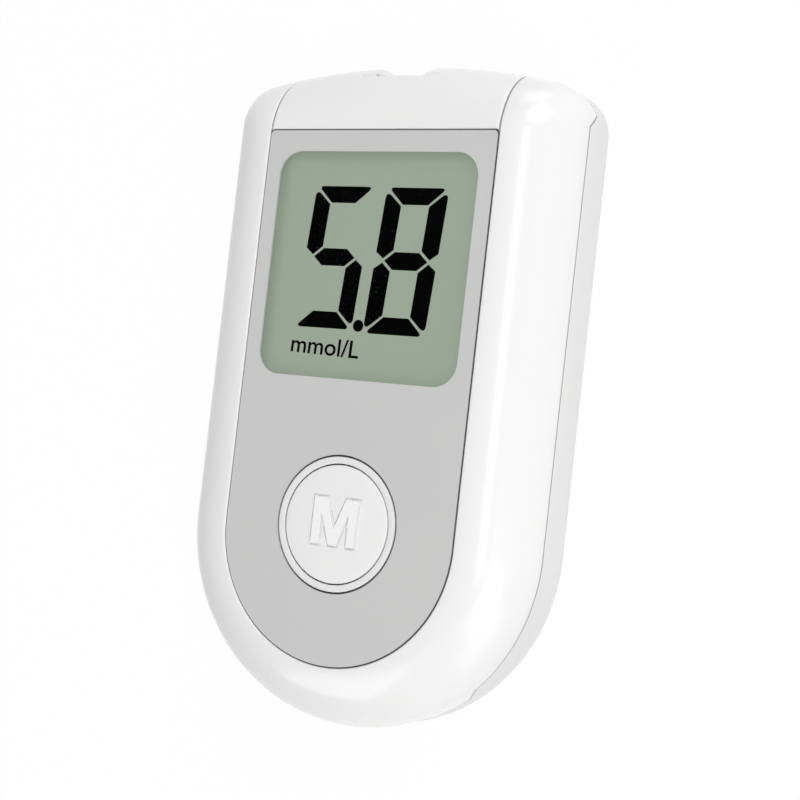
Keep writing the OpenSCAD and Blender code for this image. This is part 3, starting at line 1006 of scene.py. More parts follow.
@dataclass
class Housing(SubAssembly):
    """Front shell, port cap, rear cover and a grey strip of painted shade in their seams, all
    cut from one outer skin.
    """

    crown_fall: float = 3.5
    corner_r: float = 6.1
    back_r: float = 2.0
    wall_t: float = 1.8
    edge_r: float = 0.22
    face_inset: float = 0.3
    # The recess's rim lies a hair under the face, and is rounded down to a depth
    rim_drop: float = 0.005
    rim_depth: float = 0.3
    face_steps: int = 42
    back_steps: int = 8
    # Seam between front and rear: low at both ends, high along the sides
    end_seam_h: float = 4.9
    side_seam_h: float = 7.72
    seam_start: float = 5.8
    seam_stop: float = 5.9
    seam_slope: float = 2.0
    # Depth and width of the grey strip in the seams, which paints their shade
    shade_strip_depth: float = 0.1
    shade_strip_w: float = 0.7
    # Holes of the deck
    lens_play: float = 0.2
    stem_hole_r: float = 8.0
    deck_play: float = 0.02
    # Battery door, and the floor above it with the cell's well
    door_half_w: float = 13.0
    door_t: float = 1.6
    door_gap: float = 0.15
    rear_floor: float = 2.4
    bed_r: float = 24.6
    bed_lap: float = 1.2
    bed_past: float = 0.35
    well_r: float = 10.25
    well_wall: float = 1.2
    well_lift: float = 0.3
    well_top_z: float = 6.0
    # Places of two screws, which are mirrored, and their seats
    screws: tuple[Point, ...] = ((16.0, -33.0), (20.9, 35.7))
    screw_r: float = 2.2
    seat_r: float = 2.6
    seat_t: float = 0.7
    seat_top_z: float = 7.8
    # Three slots for the sounder
    sound_y: float = 10.75
    sound_pitch: float = 2.4
    sound_half_w: float = 0.6
    sound_half_l: float = 2.5
    sound_r: float = 0.55
    # Finger relief: a trough that runs out down the end wall
    relief_depth: float = 2.2
    relief_floor_w: float = 7.0
    relief_mouth_w: float = 10.2
    relief_ledge: float = 0.7
    relief_low_z: float = 8.9
    relief_end_z: float = 2.2
    relief_top_z: float = 21.0
    relief_past: float = 5.0
    # Strip slot, and the block round it behind the end wall
    slot_box: tuple[Place, Place] = ((-3.3, 30.0, 9.8), (3.3, 50.0, 11.0))
    port_box: tuple[Place, Place] = ((-6.0, 39.5, 7.8), (6.0, 43.0, 12.6))

    def outline(self, t: float, inset: float = 0.0) -> Outline:
        """Gives an outline between the widest one and the flat of the face.

        Args:
            t: The way, from 0 at the widest outline to 1 at the flat of the face.
            inset: How far the widest outline is drawn in.

        Returns:
            The outline.
        """
        return Outline(
            mix(HALF_W - inset, PANEL_HALF_W - self.face_inset, t),
            mix(ARC_Y - END_Y - inset, PANEL_HALF_W - self.face_inset, t),
            mix(CREST_Y - inset, PANEL_TOP_Y - self.face_inset, t),
            mix(self.crown_fall, 0.0, t),
            mix(self.corner_r - inset, PANEL_CORNER_R, t),
        )

    def rings(self) -> list[tuple[list[Point], float]]:
        """Works out the rings of the outer skin, from the flat back to the panel's recess.

        Returns:
            Points and level of each ring.
        """
        made = []
        for k in range(self.back_steps + 1):
            a = math.pi / 2 * k / self.back_steps
            inset = self.back_r * (1 - math.sin(a))
            made.append((self.outline(0, inset), self.back_r * (1 - math.cos(a))))
        ways = [RIM_GAP / 2 + way for way in fillet(self.edge_r)]
        for z in (self.end_seam_h, self.side_seam_h):
            made += [(self.outline(0), z - way) for way in ways]
            made += [(self.outline(0), z + way) for way in reversed(ways)]
        # The steps next to the seam and to the recess would lie too near their rings
        for k in range(2, self.face_steps - 2):
            a = math.pi / 2 * k / self.face_steps
            z = FACE_Z - EDGE_H * (1 - math.sin(a))
            made.append((self.outline(1 - math.cos(a)), z))
        for way in fillet(self.edge_r):
            made.append((Outline.panel(-way), FACE_Z - self.rim_drop))
        return [(outline.points(), z) for outline, z in made]

    def skin(self, lifts: Sequence[float] = ()) -> BMesh:
        """Makes the outer skin, cut along the seam's sloping steps.

        Args:
            lifts: Heights of the cuts above the middle of the seam.

        Returns:
            The skin, open at the back and at the panel's recess.
        """
        bm = bmesh.new()
        loft(bm, self.rings())
        face_outwards(bm)
        rise = self.side_seam_h - self.end_seam_h
        middle, reach_y, reach_z = self.end_seam_h + rise / 2, 4.0, rise / 2 + 0.6
        for y, way in ((END_Y + self.seam_start, 1), (CREST_Y - self.seam_stop, -1)):
            for lift in lifts:
                split(
                    bm,
                    (0, -way * rise, self.seam_slope),
                    (0, y, self.end_seam_h + lift),
                    lambda c, y=y: abs(c.z - middle) < reach_z and abs(c.y - y) < reach_y,
                )
        return bm

    def rim_lifts(self, way_out: int) -> list[float]:
        """Heights at which a rim of the seam is cut for its rounding.

        Args:
            way_out: 1 for the pieces above the seam, -1 for the cover below it.

        Returns:
            Heights above the middle of the seam.
        """
        return [way_out * (RIM_GAP / 2 + way) for way in fillet(self.edge_r)]

    def seam(self, y: float) -> float:
        """Gives the height of the seam's middle at a place along Y.

        Args:
            y: The place.

        Returns:
            The height.
        """
        along = min(y - END_Y - self.seam_start, CREST_Y - self.seam_stop - y)
        share = min(1.0, max(0.0, along / self.seam_slope))
        return mix(self.end_seam_h, self.side_seam_h, share)

    def over_seam(self, centre: Vector) -> float:
        """Way of a face's centre over (or, below 0, under) the gap of the seam."""
        way = centre.z - self.seam(centre.y)
        return 0.0 if abs(way) < RIM_GAP * 0.45 else way

    def recess_wall(self, bm: BMesh, wanted: Callable[[BMVert], bool]) -> None:
        """Draws the edge of the panel's recess down to the underside of the deck.

        Args:
            bm: Skin that is open at the recess.
            wanted: Tells whether the edges at a vertex are drawn down.
        """
        rim = [
            e
            for e in bm.edges
            if e.is_boundary
            and all(v.co.z > FACE_Z - TOUCH for v in e.verts)
            and any(wanted(v) for v in e.verts)
        ]
        for vert in bmesh.ops.extrude_edge_only(bm, edges=rim)["geom"]:
            if isinstance(vert, BMVert):
                vert.co.z = DECK_LOW_Z
        face_outwards(bm)

    def side_splits(self, bm: BMesh, edge_x: float, way_out: int) -> None:
        """Cuts the skin along both sides of the cap, and beside the cut for the rounding.

        Args:
            bm: The outer skin.
            edge_x: Way of the cut from the middle.
            way_out: 1 where the piece lies outside the cut, -1 where inside.
        """
        for way in fillet(self.edge_r):
            for side in (-1, 1):
                place = (side * (edge_x + way_out * way), 0, 0)
                split(bm, Axis.X.value, place, lambda c: c.y > CAP_NEAR_Y)

    def from_recess(self, co: Vector) -> float:
        """Works out the way of a point on the face from the edge of the panel's recess.

        Args:
            co: The point.

        Returns:
            The way, or the full rounding for a point below the face.
        """
        x, r = abs(co.x), PANEL_CORNER_R
        if co.z < FACE_Z - self.rim_depth:
            return self.edge_r
        if co.y < ARC_Y:
            return math.hypot(x, co.y - ARC_Y) - PANEL_HALF_W
        dx, dy = x - (PANEL_HALF_W - r), co.y - (PANEL_TOP_Y - r)
        if dx > 0 and dy > 0:
            return math.hypot(dx, dy) - r
        return max(dx, dy) - r

    def from_rims(self, co: Vector, side_way: float) -> float:
        """Way of a point of the upper pieces from the nearest rim.

        Args:
            co: The point.
            side_way: Its way from the cut beside the cap.

        Returns:
            The smallest way.
        """
        beside = side_way if co.y > PANEL_TOP_Y - PANEL_CORNER_R else self.edge_r
        above = co.z - self.seam(co.y) - RIM_GAP / 2
        return min(self.from_recess(co), beside, above)

    def upper_skin(
        self, name: str, edge_x: float, way_out: int, wanted: Callable[[BMVert], bool]
    ) -> tuple[bpy.types.Object, list[tuple[Vector, Vector]]]:
        """Makes a walled skin above the seam, on one side of the cuts beside the cap.

        Args:
            name: Name of the piece.
            edge_x: Way of the cuts from the middle.
            way_out: 1 for the skin outside the cuts, -1 for the one between them.
            wanted: Tells by a vertex which edges of the recess are drawn down.

        Returns:
            The skin, and the moves that round its rims.
        """
        bm = self.skin(self.rim_lifts(1))
        self.side_splits(bm, edge_x, way_out)
        keep(
            bm,
            lambda c: self.over_seam(c) > 0
            and (abs(c.x) < edge_x and c.y > CAP_NEAR_Y) == (way_out < 0),
        )
        moves = rim_moves(
            bm, self.edge_r, lambda co: self.from_rims(co, way_out * (abs(co.x) - edge_x))
        )
        self.recess_wall(bm, wanted)
        made = mesh_object(bm, name)
        wall(made, self.wall_t)
        settle(made)
        return made, moves

    def build_front_shell(self) -> None:
        """Builds the skin round the sides with the recess wall, and the deck inside it."""
        corner_y = PANEL_TOP_Y - PANEL_CORNER_R
        shell, moves = self.upper_skin(
            "front_shell_moulding", PANEL_HALF_W, 1, lambda v: v.co.y < corner_y - TOUCH
        )
        push(shell, moves)
        merge(shell, mesh_object(self.deck(), "deck"))
        crisp(shell)
        self.add(shell, GLOSS_ABS, "shell_white", "front_shell")

    def deck(self) -> BMesh:
        """Makes the plate under the panel, with the holes of the lens and the button.

        Returns:
            The plate.
        """
        bm = bmesh.new()
        low_z = DECK_LOW_Z + self.deck_play
        display = Display()
        ring(bm, Outline.panel(self.deck_play).points(), low_z)
        round_rect_ring(bm, display.lens_span(self.lens_play), low_z, display.lens_r)
        circle_ring(bm, 0, BUTTON_Y, low_z, self.stem_hole_r)
        fill_up(bm, bm.edges, DECK_Z - low_z)
        return bm

    def build_cap(self) -> None:
        """Builds the cap of the port end, with its finger relief and the strip slot."""
        edge_x = PANEL_HALF_W - SEAM_GAP
        cap, moves = self.upper_skin(
            "port_cap_moulding", edge_x, -1, lambda v: abs(v.co.x) < edge_x - TOUCH
        )
        for vert in cap.data.vertices:
            vert.co.x = max(-edge_x * MM, min(edge_x * MM, vert.co.x))
        block = bmesh.new()
        box(block, *self.port_box)
        port = mesh_object(block, "port_block")
        for part in (cap, port):
            carve(part, self.relief())
            slot = bmesh.new()
            box(slot, *self.slot_box)
            carve(part, slot)
        push(cap, moves)
        merge(cap, port)
        crisp(cap)
        self.add(cap, SATIN_ABS, "cap_white", "top_cap")

    def relief(self) -> BMesh:
        """Makes a trough across the port end, which runs out down the end wall.

        Returns:
            The trough, as a closed form.
        """
        floor_y, far_y = CREST_Y - self.relief_depth, CREST_Y + self.relief_past
        ledge_y = floor_y + self.relief_ledge
        lean = (self.relief_mouth_w - self.relief_floor_w) / 2 / self.relief_depth
        slope = (self.relief_low_z - self.relief_end_z) / (CREST_Y - ledge_y)
        low_z = self.relief_low_z - slope * (far_y - ledge_y)
        profile = [
            (floor_y, self.relief_low_z), (ledge_y, self.relief_low_z),
            (far_y, low_z), (far_y, self.relief_top_z), (floor_y, self.relief_top_z),
        ]
        bm = bmesh.new()
        near = set(ring(bm, profile, 0))
        face = bmesh.ops.edgeloop_fill(bm, edges=bm.edges)["faces"]
        bmesh.ops.extrude_face_region(bm, geom=face, use_keep_orig=True)
        for vert in bm.verts:
            y, z, _ = vert.co
            half = self.relief_floor_w / 2 + lean * (y - floor_y)
            vert.co = (-half if vert in near else half, y, z)
        return bm

    def screw_places(self) -> list[Point]:
        """Places of the four screws along X and Y."""
        return [(side * x, y) for x, y in self.screws for side in (-1, 1)]

    def flat_back(self, bm: BMesh) -> None:
        """Fills the flat of the back, with the holes for screws and sound.

        Args:
            bm: Skin that is open at the back.
        """
        rim = [e for e in bm.edges if all(v.co.z < MERGE for v in e.verts)]
        verts = []
        for x, y in self.screw_places():
            verts += circle_ring(bm, x, y, 0, self.screw_r, SMALL_FACETS)
        half_w, half_l = self.sound_half_w, self.sound_half_l
        for x in (-self.sound_pitch, 0, self.sound_pitch):
            slot = (x - half_w, self.sound_y - half_l, x + half_w, self.sound_y + half_l)
            verts += round_rect_ring(bm, slot, 0, self.sound_r)
        bmesh.ops.triangle_fill(
            bm, edges=rim + edges_of(verts), use_beauty=True, use_dissolve=False
        )

    def door_cuts(self, bm: BMesh, gap: float) -> Callable[[Vector], bool]:
        """Cuts the back along the battery door.

        Args:
            bm: Skin with its flat back.
            gap: Way of the cut out from the door's own edge.

        Returns:
            A test that tells whether a face's centre lies in the door.
        """
        half_w, top_y, top_z = self.door_half_w + gap, DOOR_TOP_Y + gap, self.door_t + gap
        back_z, margin = self.back_r + 0.1, 3.0
        for side in (-1, 1):
            split(bm, Axis.X.value, (side * half_w, 0, 0), lambda c: c.z < back_z)
        split(bm, Axis.Y.value, (0, top_y, 0), lambda c: c.z < back_z)
        split(
            bm,
            Axis.Z.value,
            (0, 0, top_z),
            lambda c: c.z < back_z and abs(c.x) < half_w + margin and c.y < top_y + margin,
        )
        return lambda c: abs(c.x) < half_w and c.y < top_y and c.z < top_z

    def build_rear_cover(self) -> None:
        """Builds the cover of the back, with the door's opening, the well and screw seats."""
        bm = self.skin(self.rim_lifts(-1))
        self.flat_back(bm)
        in_door = self.door_cuts(bm, self.door_gap)
        keep(bm, lambda c: self.over_seam(c) < 0 and not in_door(c))
        face_outwards(bm)
        moves = rim_moves(
            bm, self.edge_r, lambda co: self.seam(co.y) - RIM_GAP / 2 - co.z
        )
        cover = mesh_object(bm, "rear_cover_moulding")
        wall(cover, self.wall_t)
        settle(cover)
        push(cover, moves)
        carve(cover, self.relief())
        merge(cover, mesh_object(self.door_bed(), "door_bed"))
        crisp(cover)
        self.add(cover, GRAINED_ABS, "rear_white", "rear_cover")

    def door_bed(self) -> BMesh:
        """Makes the floor above the door, the cell's well and the seats of the screws.

        Returns:
            The three, as islands.
        """
        bm = bmesh.new()
        low_z = self.door_t + self.door_gap
        circle_ring(bm, 0, ARC_Y, low_z, self.bed_r)
        bmesh.ops.contextual_create(bm, geom=list(bm.verts))
        reach = self.door_half_w + self.bed_lap
        for out, place in (
            ((1, 0, 0), (reach, 0, 0)),
            ((-1, 0, 0), (-reach, 0, 0)),
            ((0, 1, 0), (0, DOOR_TOP_Y + self.bed_past, 0)),
        ):
            bmesh.ops.bisect_plane(
                bm, geom=[*bm.verts, *bm.edges, *bm.faces], dist=MERGE,
                plane_co=place, plane_no=out, clear_outer=True,
            )
        bmesh.ops.delete(bm, geom=list(bm.faces), context="FACES_ONLY")
        circle_ring(bm, 0, CELL_Y, low_z, self.well_r)
        fill_up(bm, bm.edges, self.rear_floor - low_z)
        well = tube(
            self.well_r, self.well_r + self.well_wall, low_z + self.well_lift, self.well_top_z
        )
        turned(bm, (0, CELL_Y), well, steps=ROUND_FACETS)
        seat = tube(0, self.seat_r, self.rear_floor - self.seat_t, self.seat_top_z)
        for place in self.screw_places():
            turned(bm, place, seat, steps=SMALL_FACETS)
        return bm

    def in_seam(self, centre: Vector) -> bool:
        """Tells whether a face lies in the seams of the mouldings.

        Args:
            centre: Centre of the face.

        Returns:
            Whether the face is part of the grey strip of painted seam shade.
        """
        over = self.over_seam(centre)
        return over == 0 or (
            over > 0
            and PANEL_HALF_W - SEAM_GAP < abs(centre.x) < PANEL_HALF_W
            and centre.y > PANEL_TOP_Y - PANEL_CORNER_R
        )

    def build_seam_shade_strip(self) -> None:
        """Builds the thin grey strip that lies a little way down in the seams, as painted
        shade.
        """
        bm = self.skin((-RIM_GAP / 2, RIM_GAP / 2))
        edge_x = PANEL_HALF_W - SEAM_GAP
        for x in (-PANEL_HALF_W, -edge_x, edge_x, PANEL_HALF_W):
            split(bm, Axis.X.value, (x, 0, 0), lambda c: c.y > CAP_NEAR_Y)
        keep(bm, self.in_seam)
        bm.normal_update()
        for vert in bm.verts:
            vert.co -= self.shade_strip_depth * vert.normal
        seal = mesh_object(bm, "housing_seam_shade_strip")
        wall(seal, self.shade_strip_w)
        settle(seal)
        carve(seal, self.relief())
        crisp(seal)
        self.add(seal, SEAM_SHADE_GREY, "rear_white")

    def build(self) -> None:
        """Builds the three mouldings of the housing and the grey strip of painted shade in
        their seams.
        """
        self.build_front_shell()
        self.build_cap()
        self.build_rear_cover()
        self.build_seam_shade_strip()


@dataclass
class FacePanel(SubAssembly):
    """Printed film on dark foam tape, round the window and the hole for the ring. The tape and
    a dark bead show in the gaps as painted shade.
    """

    gap: float = 0.17
    hole_r: float = 9.12
    film_t: float = 0.3
    edge_width: float = 0.06
    tape_gap: float = 0.04
    tape_play: float = 0.3
    tape_hole_r: float = 8.9
    # A dark bead in the gap round the film, as painted shade
    bead_play: float = 0.02
    bead_depth: float = 0.1

    def layer(
        self, name: str, gap: float, play: float, hole_r: float, low_z: float, high_z: float
    ) -> bpy.types.Object:
        """Cuts one layer from the panel's outline, the window and the ring's hole.

        Args:
            name: Name of the piece.
            gap: Gap round the layer.
            play: How far its window lies back from the film's.
            hole_r: Radius of the hole for the ring.
            low_z: Level of its lower face.
            high_z: Level of its upper face.

        Returns:
            The layer.
        """
        bm = bmesh.new()
        display = Display()
        ring(bm, Outline.panel(gap).points(), low_z)
        round_rect_ring(bm, display.window_span(play), low_z, display.window_r + play)
        circle_ring(bm, 0, BUTTON_Y, low_z, hole_r, LARGE_FACETS)
        fill_up(bm, bm.edges, high_z - low_z)
        made = mesh_object(bm, name)
        soften(made, self.edge_width)
        return made

    def bead(self) -> bpy.types.Object:
        """Lays a dark bead in the gap between the film and its recess, as painted shade in the
        gap.

        Returns:
            The bead.
        """
        bm = bmesh.new()
        for gap in (self.bead_play, self.gap - self.bead_play):
            ring(bm, Outline.panel(gap).points(), FACE_Z - self.film_t)
        fill_up(bm, bm.edges, self.film_t - self.bead_depth)
        return mesh_object(bm, "face_panel_gap_shade_bead")

    def build(self) -> None:
        """Builds the printed film, the dark foam tape under it and the dark bead in its gap,
        both painted shade where they show.
        """
        level = FACE_Z - self.film_t
        film = self.layer("face_panel_film", self.gap, 0.0, self.hole_r, level, FACE_Z)
        tape = self.layer(
            "face_panel_tape_gap_shade", self.tape_gap, self.tape_play, self.tape_hole_r, DECK_Z, level
        )
        self.add(film, FACE_FILM, "panel_grey", "face_panel")
        # The dark tape and the dark bead show in the gaps as painted shade
        self.add(tape, FOAM_TAPE_GAP_SHADE, "panel_grey")
        self.add(self.bead(), FOAM_TAPE_GAP_SHADE, "panel_grey")


@dataclass
class Display(SubAssembly):
    """Window lens, liquid crystal cell and its dark segments."""

    window_low_y: float = 1.2
    window_r: float = 3.3
    lens_lap: float = 1.1
    lens_r: float = 0.5
    lens_z: float = 14.8
    ledge_l: float = 2.4
    glass_t: float = 0.95
    edge_width: float = 0.05
    ink_t: float = 0.02
    digit_slant: float = 0.068
    left_digit: Point = (-5.77, 17.5)
    right_digit: Point = (5.27, 17.33)
    left_scale: float = 0.985
    point_place: Point = (-0.82, 8.5)
    point_r: float = 0.8
    point_facets: int = 32
    # Text of the unit: its size, weight and width, its turn in radians and its place
    unit_size: float = 3.3
    unit_weight: float = 0.032
    unit_w: float = 10.7
    unit_turn: float = -0.028
    unit_place: Point = (-11.0, 4.46)

    # Corners of a digit's segments about its middle. The other segments are these,
    # mirrored. The outer corners of the bars and the tip of the sides are rounded.
    TOP_BAR = ((-4.41, 9.74), (4.41, 9.74), (1.88, 7.47), (-1.88, 7.47))
    SIDE_BAR = ((4.67, 9.41), (4.67, 1.14), (3.5, 0.27), (2.11, 1.44), (2.1, 7.25))
    MIDDLE_BAR = (
        (-3.24, 0), (-1.83, 1.18), (1.83, 1.18), (3.24, 0), (1.83, -1.18), (-1.83, -1.18),
    )
    BAR_ROUNDING = {0: 0.9, 1: 0.9}
    SIDE_ROUNDING = {0: 1.15}

    def window_span(self, play: float) -> Span:
        """Lowest x and y and highest x and y of the window, widened by a play."""
        reach = WINDOW_HALF_W + play
        return (-reach, self.window_low_y - play, reach, WINDOW_TOP_Y + play)

    def lens_span(self, play: float = 0.0) -> Span:
        """The same for the lens, which has a ledge at its lower end."""
        x0, y0, x1, y1 = self.window_span(self.lens_lap + play)
        return (x0, y0 - self.ledge_l / 2, x1, y1)

    def plate(
        self, name: str, low_z: float, height: float, drop: float = 0.0
    ) -> bpy.types.Object:
        """Makes a plate of the lens's outline.

        Args:
            name: Name of the piece.
            low_z: Level of its lower face.
            height: Its thickness.
            drop: How far its lower end is held back.

        Returns:
            The plate.
        """
        bm = bmesh.new()
        x0, y0, x1, y1 = self.lens_span()
        round_rect_ring(bm, (x0, y0 + drop, x1, y1), low_z, self.lens_r)
        fill_up(bm, bm.edges, height)
        made = mesh_object(bm, name)
        soften(made, self.edge_width, 2)
        return made

    def build(self) -> None:
        """Builds the lens, the cell and what the cell shows."""
        lens = self.plate("window_lens", self.lens_z, DECK_Z - self.lens_z)
        self.add(lens, CLEAR_ACRYLIC, "window_clear", "display_window")
        low_z = LCD_TOP_Z - self.glass_t
        cell = self.plate("lcd_cell", low_z, self.glass_t)
        rear = self.plate("lcd_rear_glass", low_z - self.glass_t, self.glass_t, self.ledge_l)
        # The cell and its rear glass glow as painted light, with painted shade by the window's
        # left and far edges
        self.add(cell, LCD_GLOW_AND_SHADE, "display_glass", "display_panel")
        self.add(rear, LCD_GLOW_AND_SHADE, "display_glass")
        self.add(self.reading(), LCD_DARK, "display_glass")
        self.add(self.unit(), LCD_DARK, "display_glass")

    def bar(self, bm: BMesh, corners: Sequence[Point], rounding: dict[int, float]) -> None:
        """Makes one segment as a flat face.

        Args:
            bm: Mesh that takes it.
            corners: Its corners about the digit's middle.
            rounding: How far a corner is rounded, by the corner's number.
        """
        part = bmesh.new()
        verts = ring(part, corners, 0)
        bmesh.ops.edgeloop_fill(part, edges=part.edges)
        for k, size in rounding.items():
            round_corners(part, [verts[k]], size, segments=5)
        join(bm, part)

    def digit(self, bm: BMesh, which: str, centre: Point, scale: float = 1.0) -> None:
        """Lays out the dark segments of one digit.

        Args:
            bm: Mesh that takes them.
            which: The digit, 5 or 8.
            centre: Its middle along X and Y.
            scale: Its size against the drawn one.
        """
        start = len(bm.verts)
        layout = [
            (self.TOP_BAR, (1, 1), self.BAR_ROUNDING),
            (self.TOP_BAR, (1, -1), self.BAR_ROUNDING),
            (self.MIDDLE_BAR, (1, 1), {}),
            (self.SIDE_BAR, (-1, 1), self.SIDE_ROUNDING),
            (self.SIDE_BAR, (1, -1), self.SIDE_ROUNDING),
        ]
        if which == "8":
            layout += [(self.SIDE_BAR, way, self.SIDE_ROUNDING) for way in ((1, 1), (-1, -1))]
        for corners, (mx, my), rounding in layout:
            self.bar(bm, [(x * mx, y * my) for x, y in corners], rounding)
        bm.verts.ensure_lookup_table()
        for vert in bm.verts[start:]:
            x, y = vert.co.x * scale, vert.co.y * scale
            vert.co = (centre[0] + x + self.digit_slant * y, centre[1] + y, 0)

    def raise_ink(self, bm: BMesh, name: str) -> bpy.types.Object:
        """Turns flat faces to a thin closed print on the cell's face.

        Args:
            bm: The flat faces.
            name: Name of the piece.

        Returns:
            The print.
        """
        bmesh.ops.translate(bm, verts=bm.verts, vec=(0, 0, LCD_TOP_Z))
        raised = bmesh.ops.extrude_face_region(bm, geom=list(bm.faces), use_keep_orig=True)
        tops = [v for v in raised["geom"] if isinstance(v, BMVert)]
        bmesh.ops.translate(bm, vec=(0, 0, self.ink_t), verts=tops)
        bmesh.ops.recalc_face_normals(bm, faces=bm.faces)
        made = mesh_object(bm, name)
        for polygon in made.data.polygons:
            polygon.use_smooth = False
        return made

    def reading(self) -> bpy.types.Object:
        """Lays out the two digits and the point between them.

        Returns:
            The reading, as one print.
        """
        bm = bmesh.new()
        self.digit(bm, "5", self.left_digit, self.left_scale)
        self.digit(bm, "8", self.right_digit)
        point = circle_ring(bm, *self.point_place, 0, self.point_r, self.point_facets)
        bmesh.ops.contextual_create(bm, geom=point)
        return self.raise_ink(bm, "lcd_reading")

    def unit(self) -> bpy.types.Object:
        """Sets the unit of the reading, below its digits.

        Returns:
            The unit, as one print.
        """
        text = bpy.data.curves.new("unit", "FONT")
        text.body = "mmol/L"
        text.size = self.unit_size
        text.offset = self.unit_weight
        text.resolution_u = 4
        holder = bpy.data.objects.new("unit", text)
        bpy.context.scene.collection.objects.link(holder)
        graph = bpy.context.evaluated_depsgraph_get()
        flat = bpy.data.meshes.new_from_object(holder.evaluated_get(graph))
        bpy.data.objects.remove(holder)
        bm = bmesh.new()
        bm.from_mesh(flat)
        low_x, high_x = min(v.co.x for v in bm.verts), max(v.co.x for v in bm.verts)
        stretch = self.unit_w / (high_x - low_x)
        turn = Matrix.Rotation(self.unit_turn, 3, "Z")
        bmesh.ops.translate(bm, verts=bm.verts, vec=(-low_x, 0, 0))
        bmesh.ops.scale(bm, verts=bm.verts, vec=(stretch, 1, 1))
        bmesh.ops.rotate(bm, verts=bm.verts, cent=(0, 0, 0), matrix=turn)
        bmesh.ops.translate(bm, verts=bm.verts, vec=(*self.unit_place, 0))
        return self.raise_ink(bm, "lcd_unit")


@dataclass
class PushButton(SubAssembly):
    """Trim ring and the button in it, with its raised letter."""

    facets: int = 160
    ring_r: float = 8.86
    bore_r: float = 7.95
    ring_top_z: float = 16.12
    ring_edge_r: float = 0.14
    button_r: float = 7.76
    top_z: float = 16.32
    crown: float = 0.24
    crown_steps: int = 7
    key_edge_r: float = 0.16
    flange_r: float = 9.0
    flange_top_z: float = 13.7
    flange_t: float = 0.9
    wall_t: float = 1.3
    stem_r: float = 2.4
    stem_past: float = 0.15
    letter_z: float = 16.52
    letter_edge: float = 0.03
    moat_w: float = 0.3
    moat_z: float = 16.02
    moat_h: float = 1.0

    # Right half of the letter M about the button's middle, from the valley
    LETTER = (
        (0, -0.7), (1.52, 3.38), (3.33, 3.38), (3.33, -2.78), (2.13, -2.78),
        (2.07, 1.38), (0.58, -2.78),
    )

    def build(self) -> None:
        """Builds the ring, the button and its letter."""
        bm = bmesh.new()
        profile = tube(self.bore_r, self.ring_r, DECK_Z, self.ring_top_z)
        rounding = {2: self.ring_edge_r, 3: self.ring_edge_r}
        turned(bm, (0, BUTTON_Y), profile, rounding, self.facets)
        trim = mesh_object(bm, "button_trim_ring")
        self.add(trim, RING_ABS, "ring_white", "button_ring")
        self.add(self.key(), SATIN_ABS, "button_white", "button_cap", body=Body.BUTTON)
        # The letter's whiter ABS is painted light on its raised top
        self.add(self.letter(), LETTER_LIT_ABS, "button_white", body=Body.BUTTON)

    def key(self) -> bpy.types.Object:
        """Turns the crowned button with its flange and stem, grooved for the letter.

        Returns:
            The button.
        """
        low_z = self.flange_top_z - self.flange_t
        stem_z = low_z - self.stem_past
        roof_z = self.top_z - self.crown - self.wall_t
        inner_r = self.button_r - self.wall_t
        profile = [
            (0, stem_z), (self.stem_r, stem_z), (self.stem_r, roof_z), (inner_r, roof_z),
            (inner_r, low_z), (self.flange_r, low_z), (self.flange_r, self.flange_top_z),
            (self.button_r, self.flange_top_z),
        ]
        edge = len(profile)
        for k in range(self.crown_steps + 1):
            share = 1 - k / self.crown_steps
            profile.append((self.button_r * share, self.top_z - self.crown * share**2))
        bm = bmesh.new()
        turned(bm, (0, BUTTON_Y), profile, {edge: self.key_edge_r}, self.facets)
        made = mesh_object(bm, "button_key")
        moat = bmesh.new()
        ring(moat, self.grown(self.letter_points(), self.moat_w), self.moat_z)
        fill_up(moat, moat.edges, self.moat_h)
        carve(made, moat)
        crisp(made)
        return made

    def letter_points(self) -> list[Point]:
        """Corners of the letter, in order."""
        left = [(-x, y) for x, y in reversed(self.LETTER[1:])]
        return [(x, y + BUTTON_Y) for x, y in (*self.LETTER, *left)]

    def grown(self, points: Sequence[Point], way: float) -> list[Point]:
        """Moves each edge of a figure outwards by a way.

        Args:
            points: Corners in clockwise order.
            way: How far each edge moves.

        Returns:
            The corners of the larger figure.
        """
        made = []
        for k, point in enumerate(points):
            here = Vector(point)
            before = (here - Vector(points[k - 1])).normalized()
            after = (Vector(points[(k + 1) % len(points)]) - here).normalized()
            out = Vector((-before.y, before.x))
            lean = (out + Vector((-after.y, after.x))).normalized()
            made.append(tuple(here + lean * (way / lean.dot(out))))
        return made

    def letter(self) -> bpy.types.Object:
        """Makes the raised letter that marks the memory button.

        Returns:
            The letter.
        """
        bm = bmesh.new()
        ring(bm, self.letter_points(), self.moat_z)
        fill_up(bm, bm.edges, self.letter_z - self.moat_z)
        made = mesh_object(bm, "button_letter")
        soften(made, self.letter_edge)
        return made


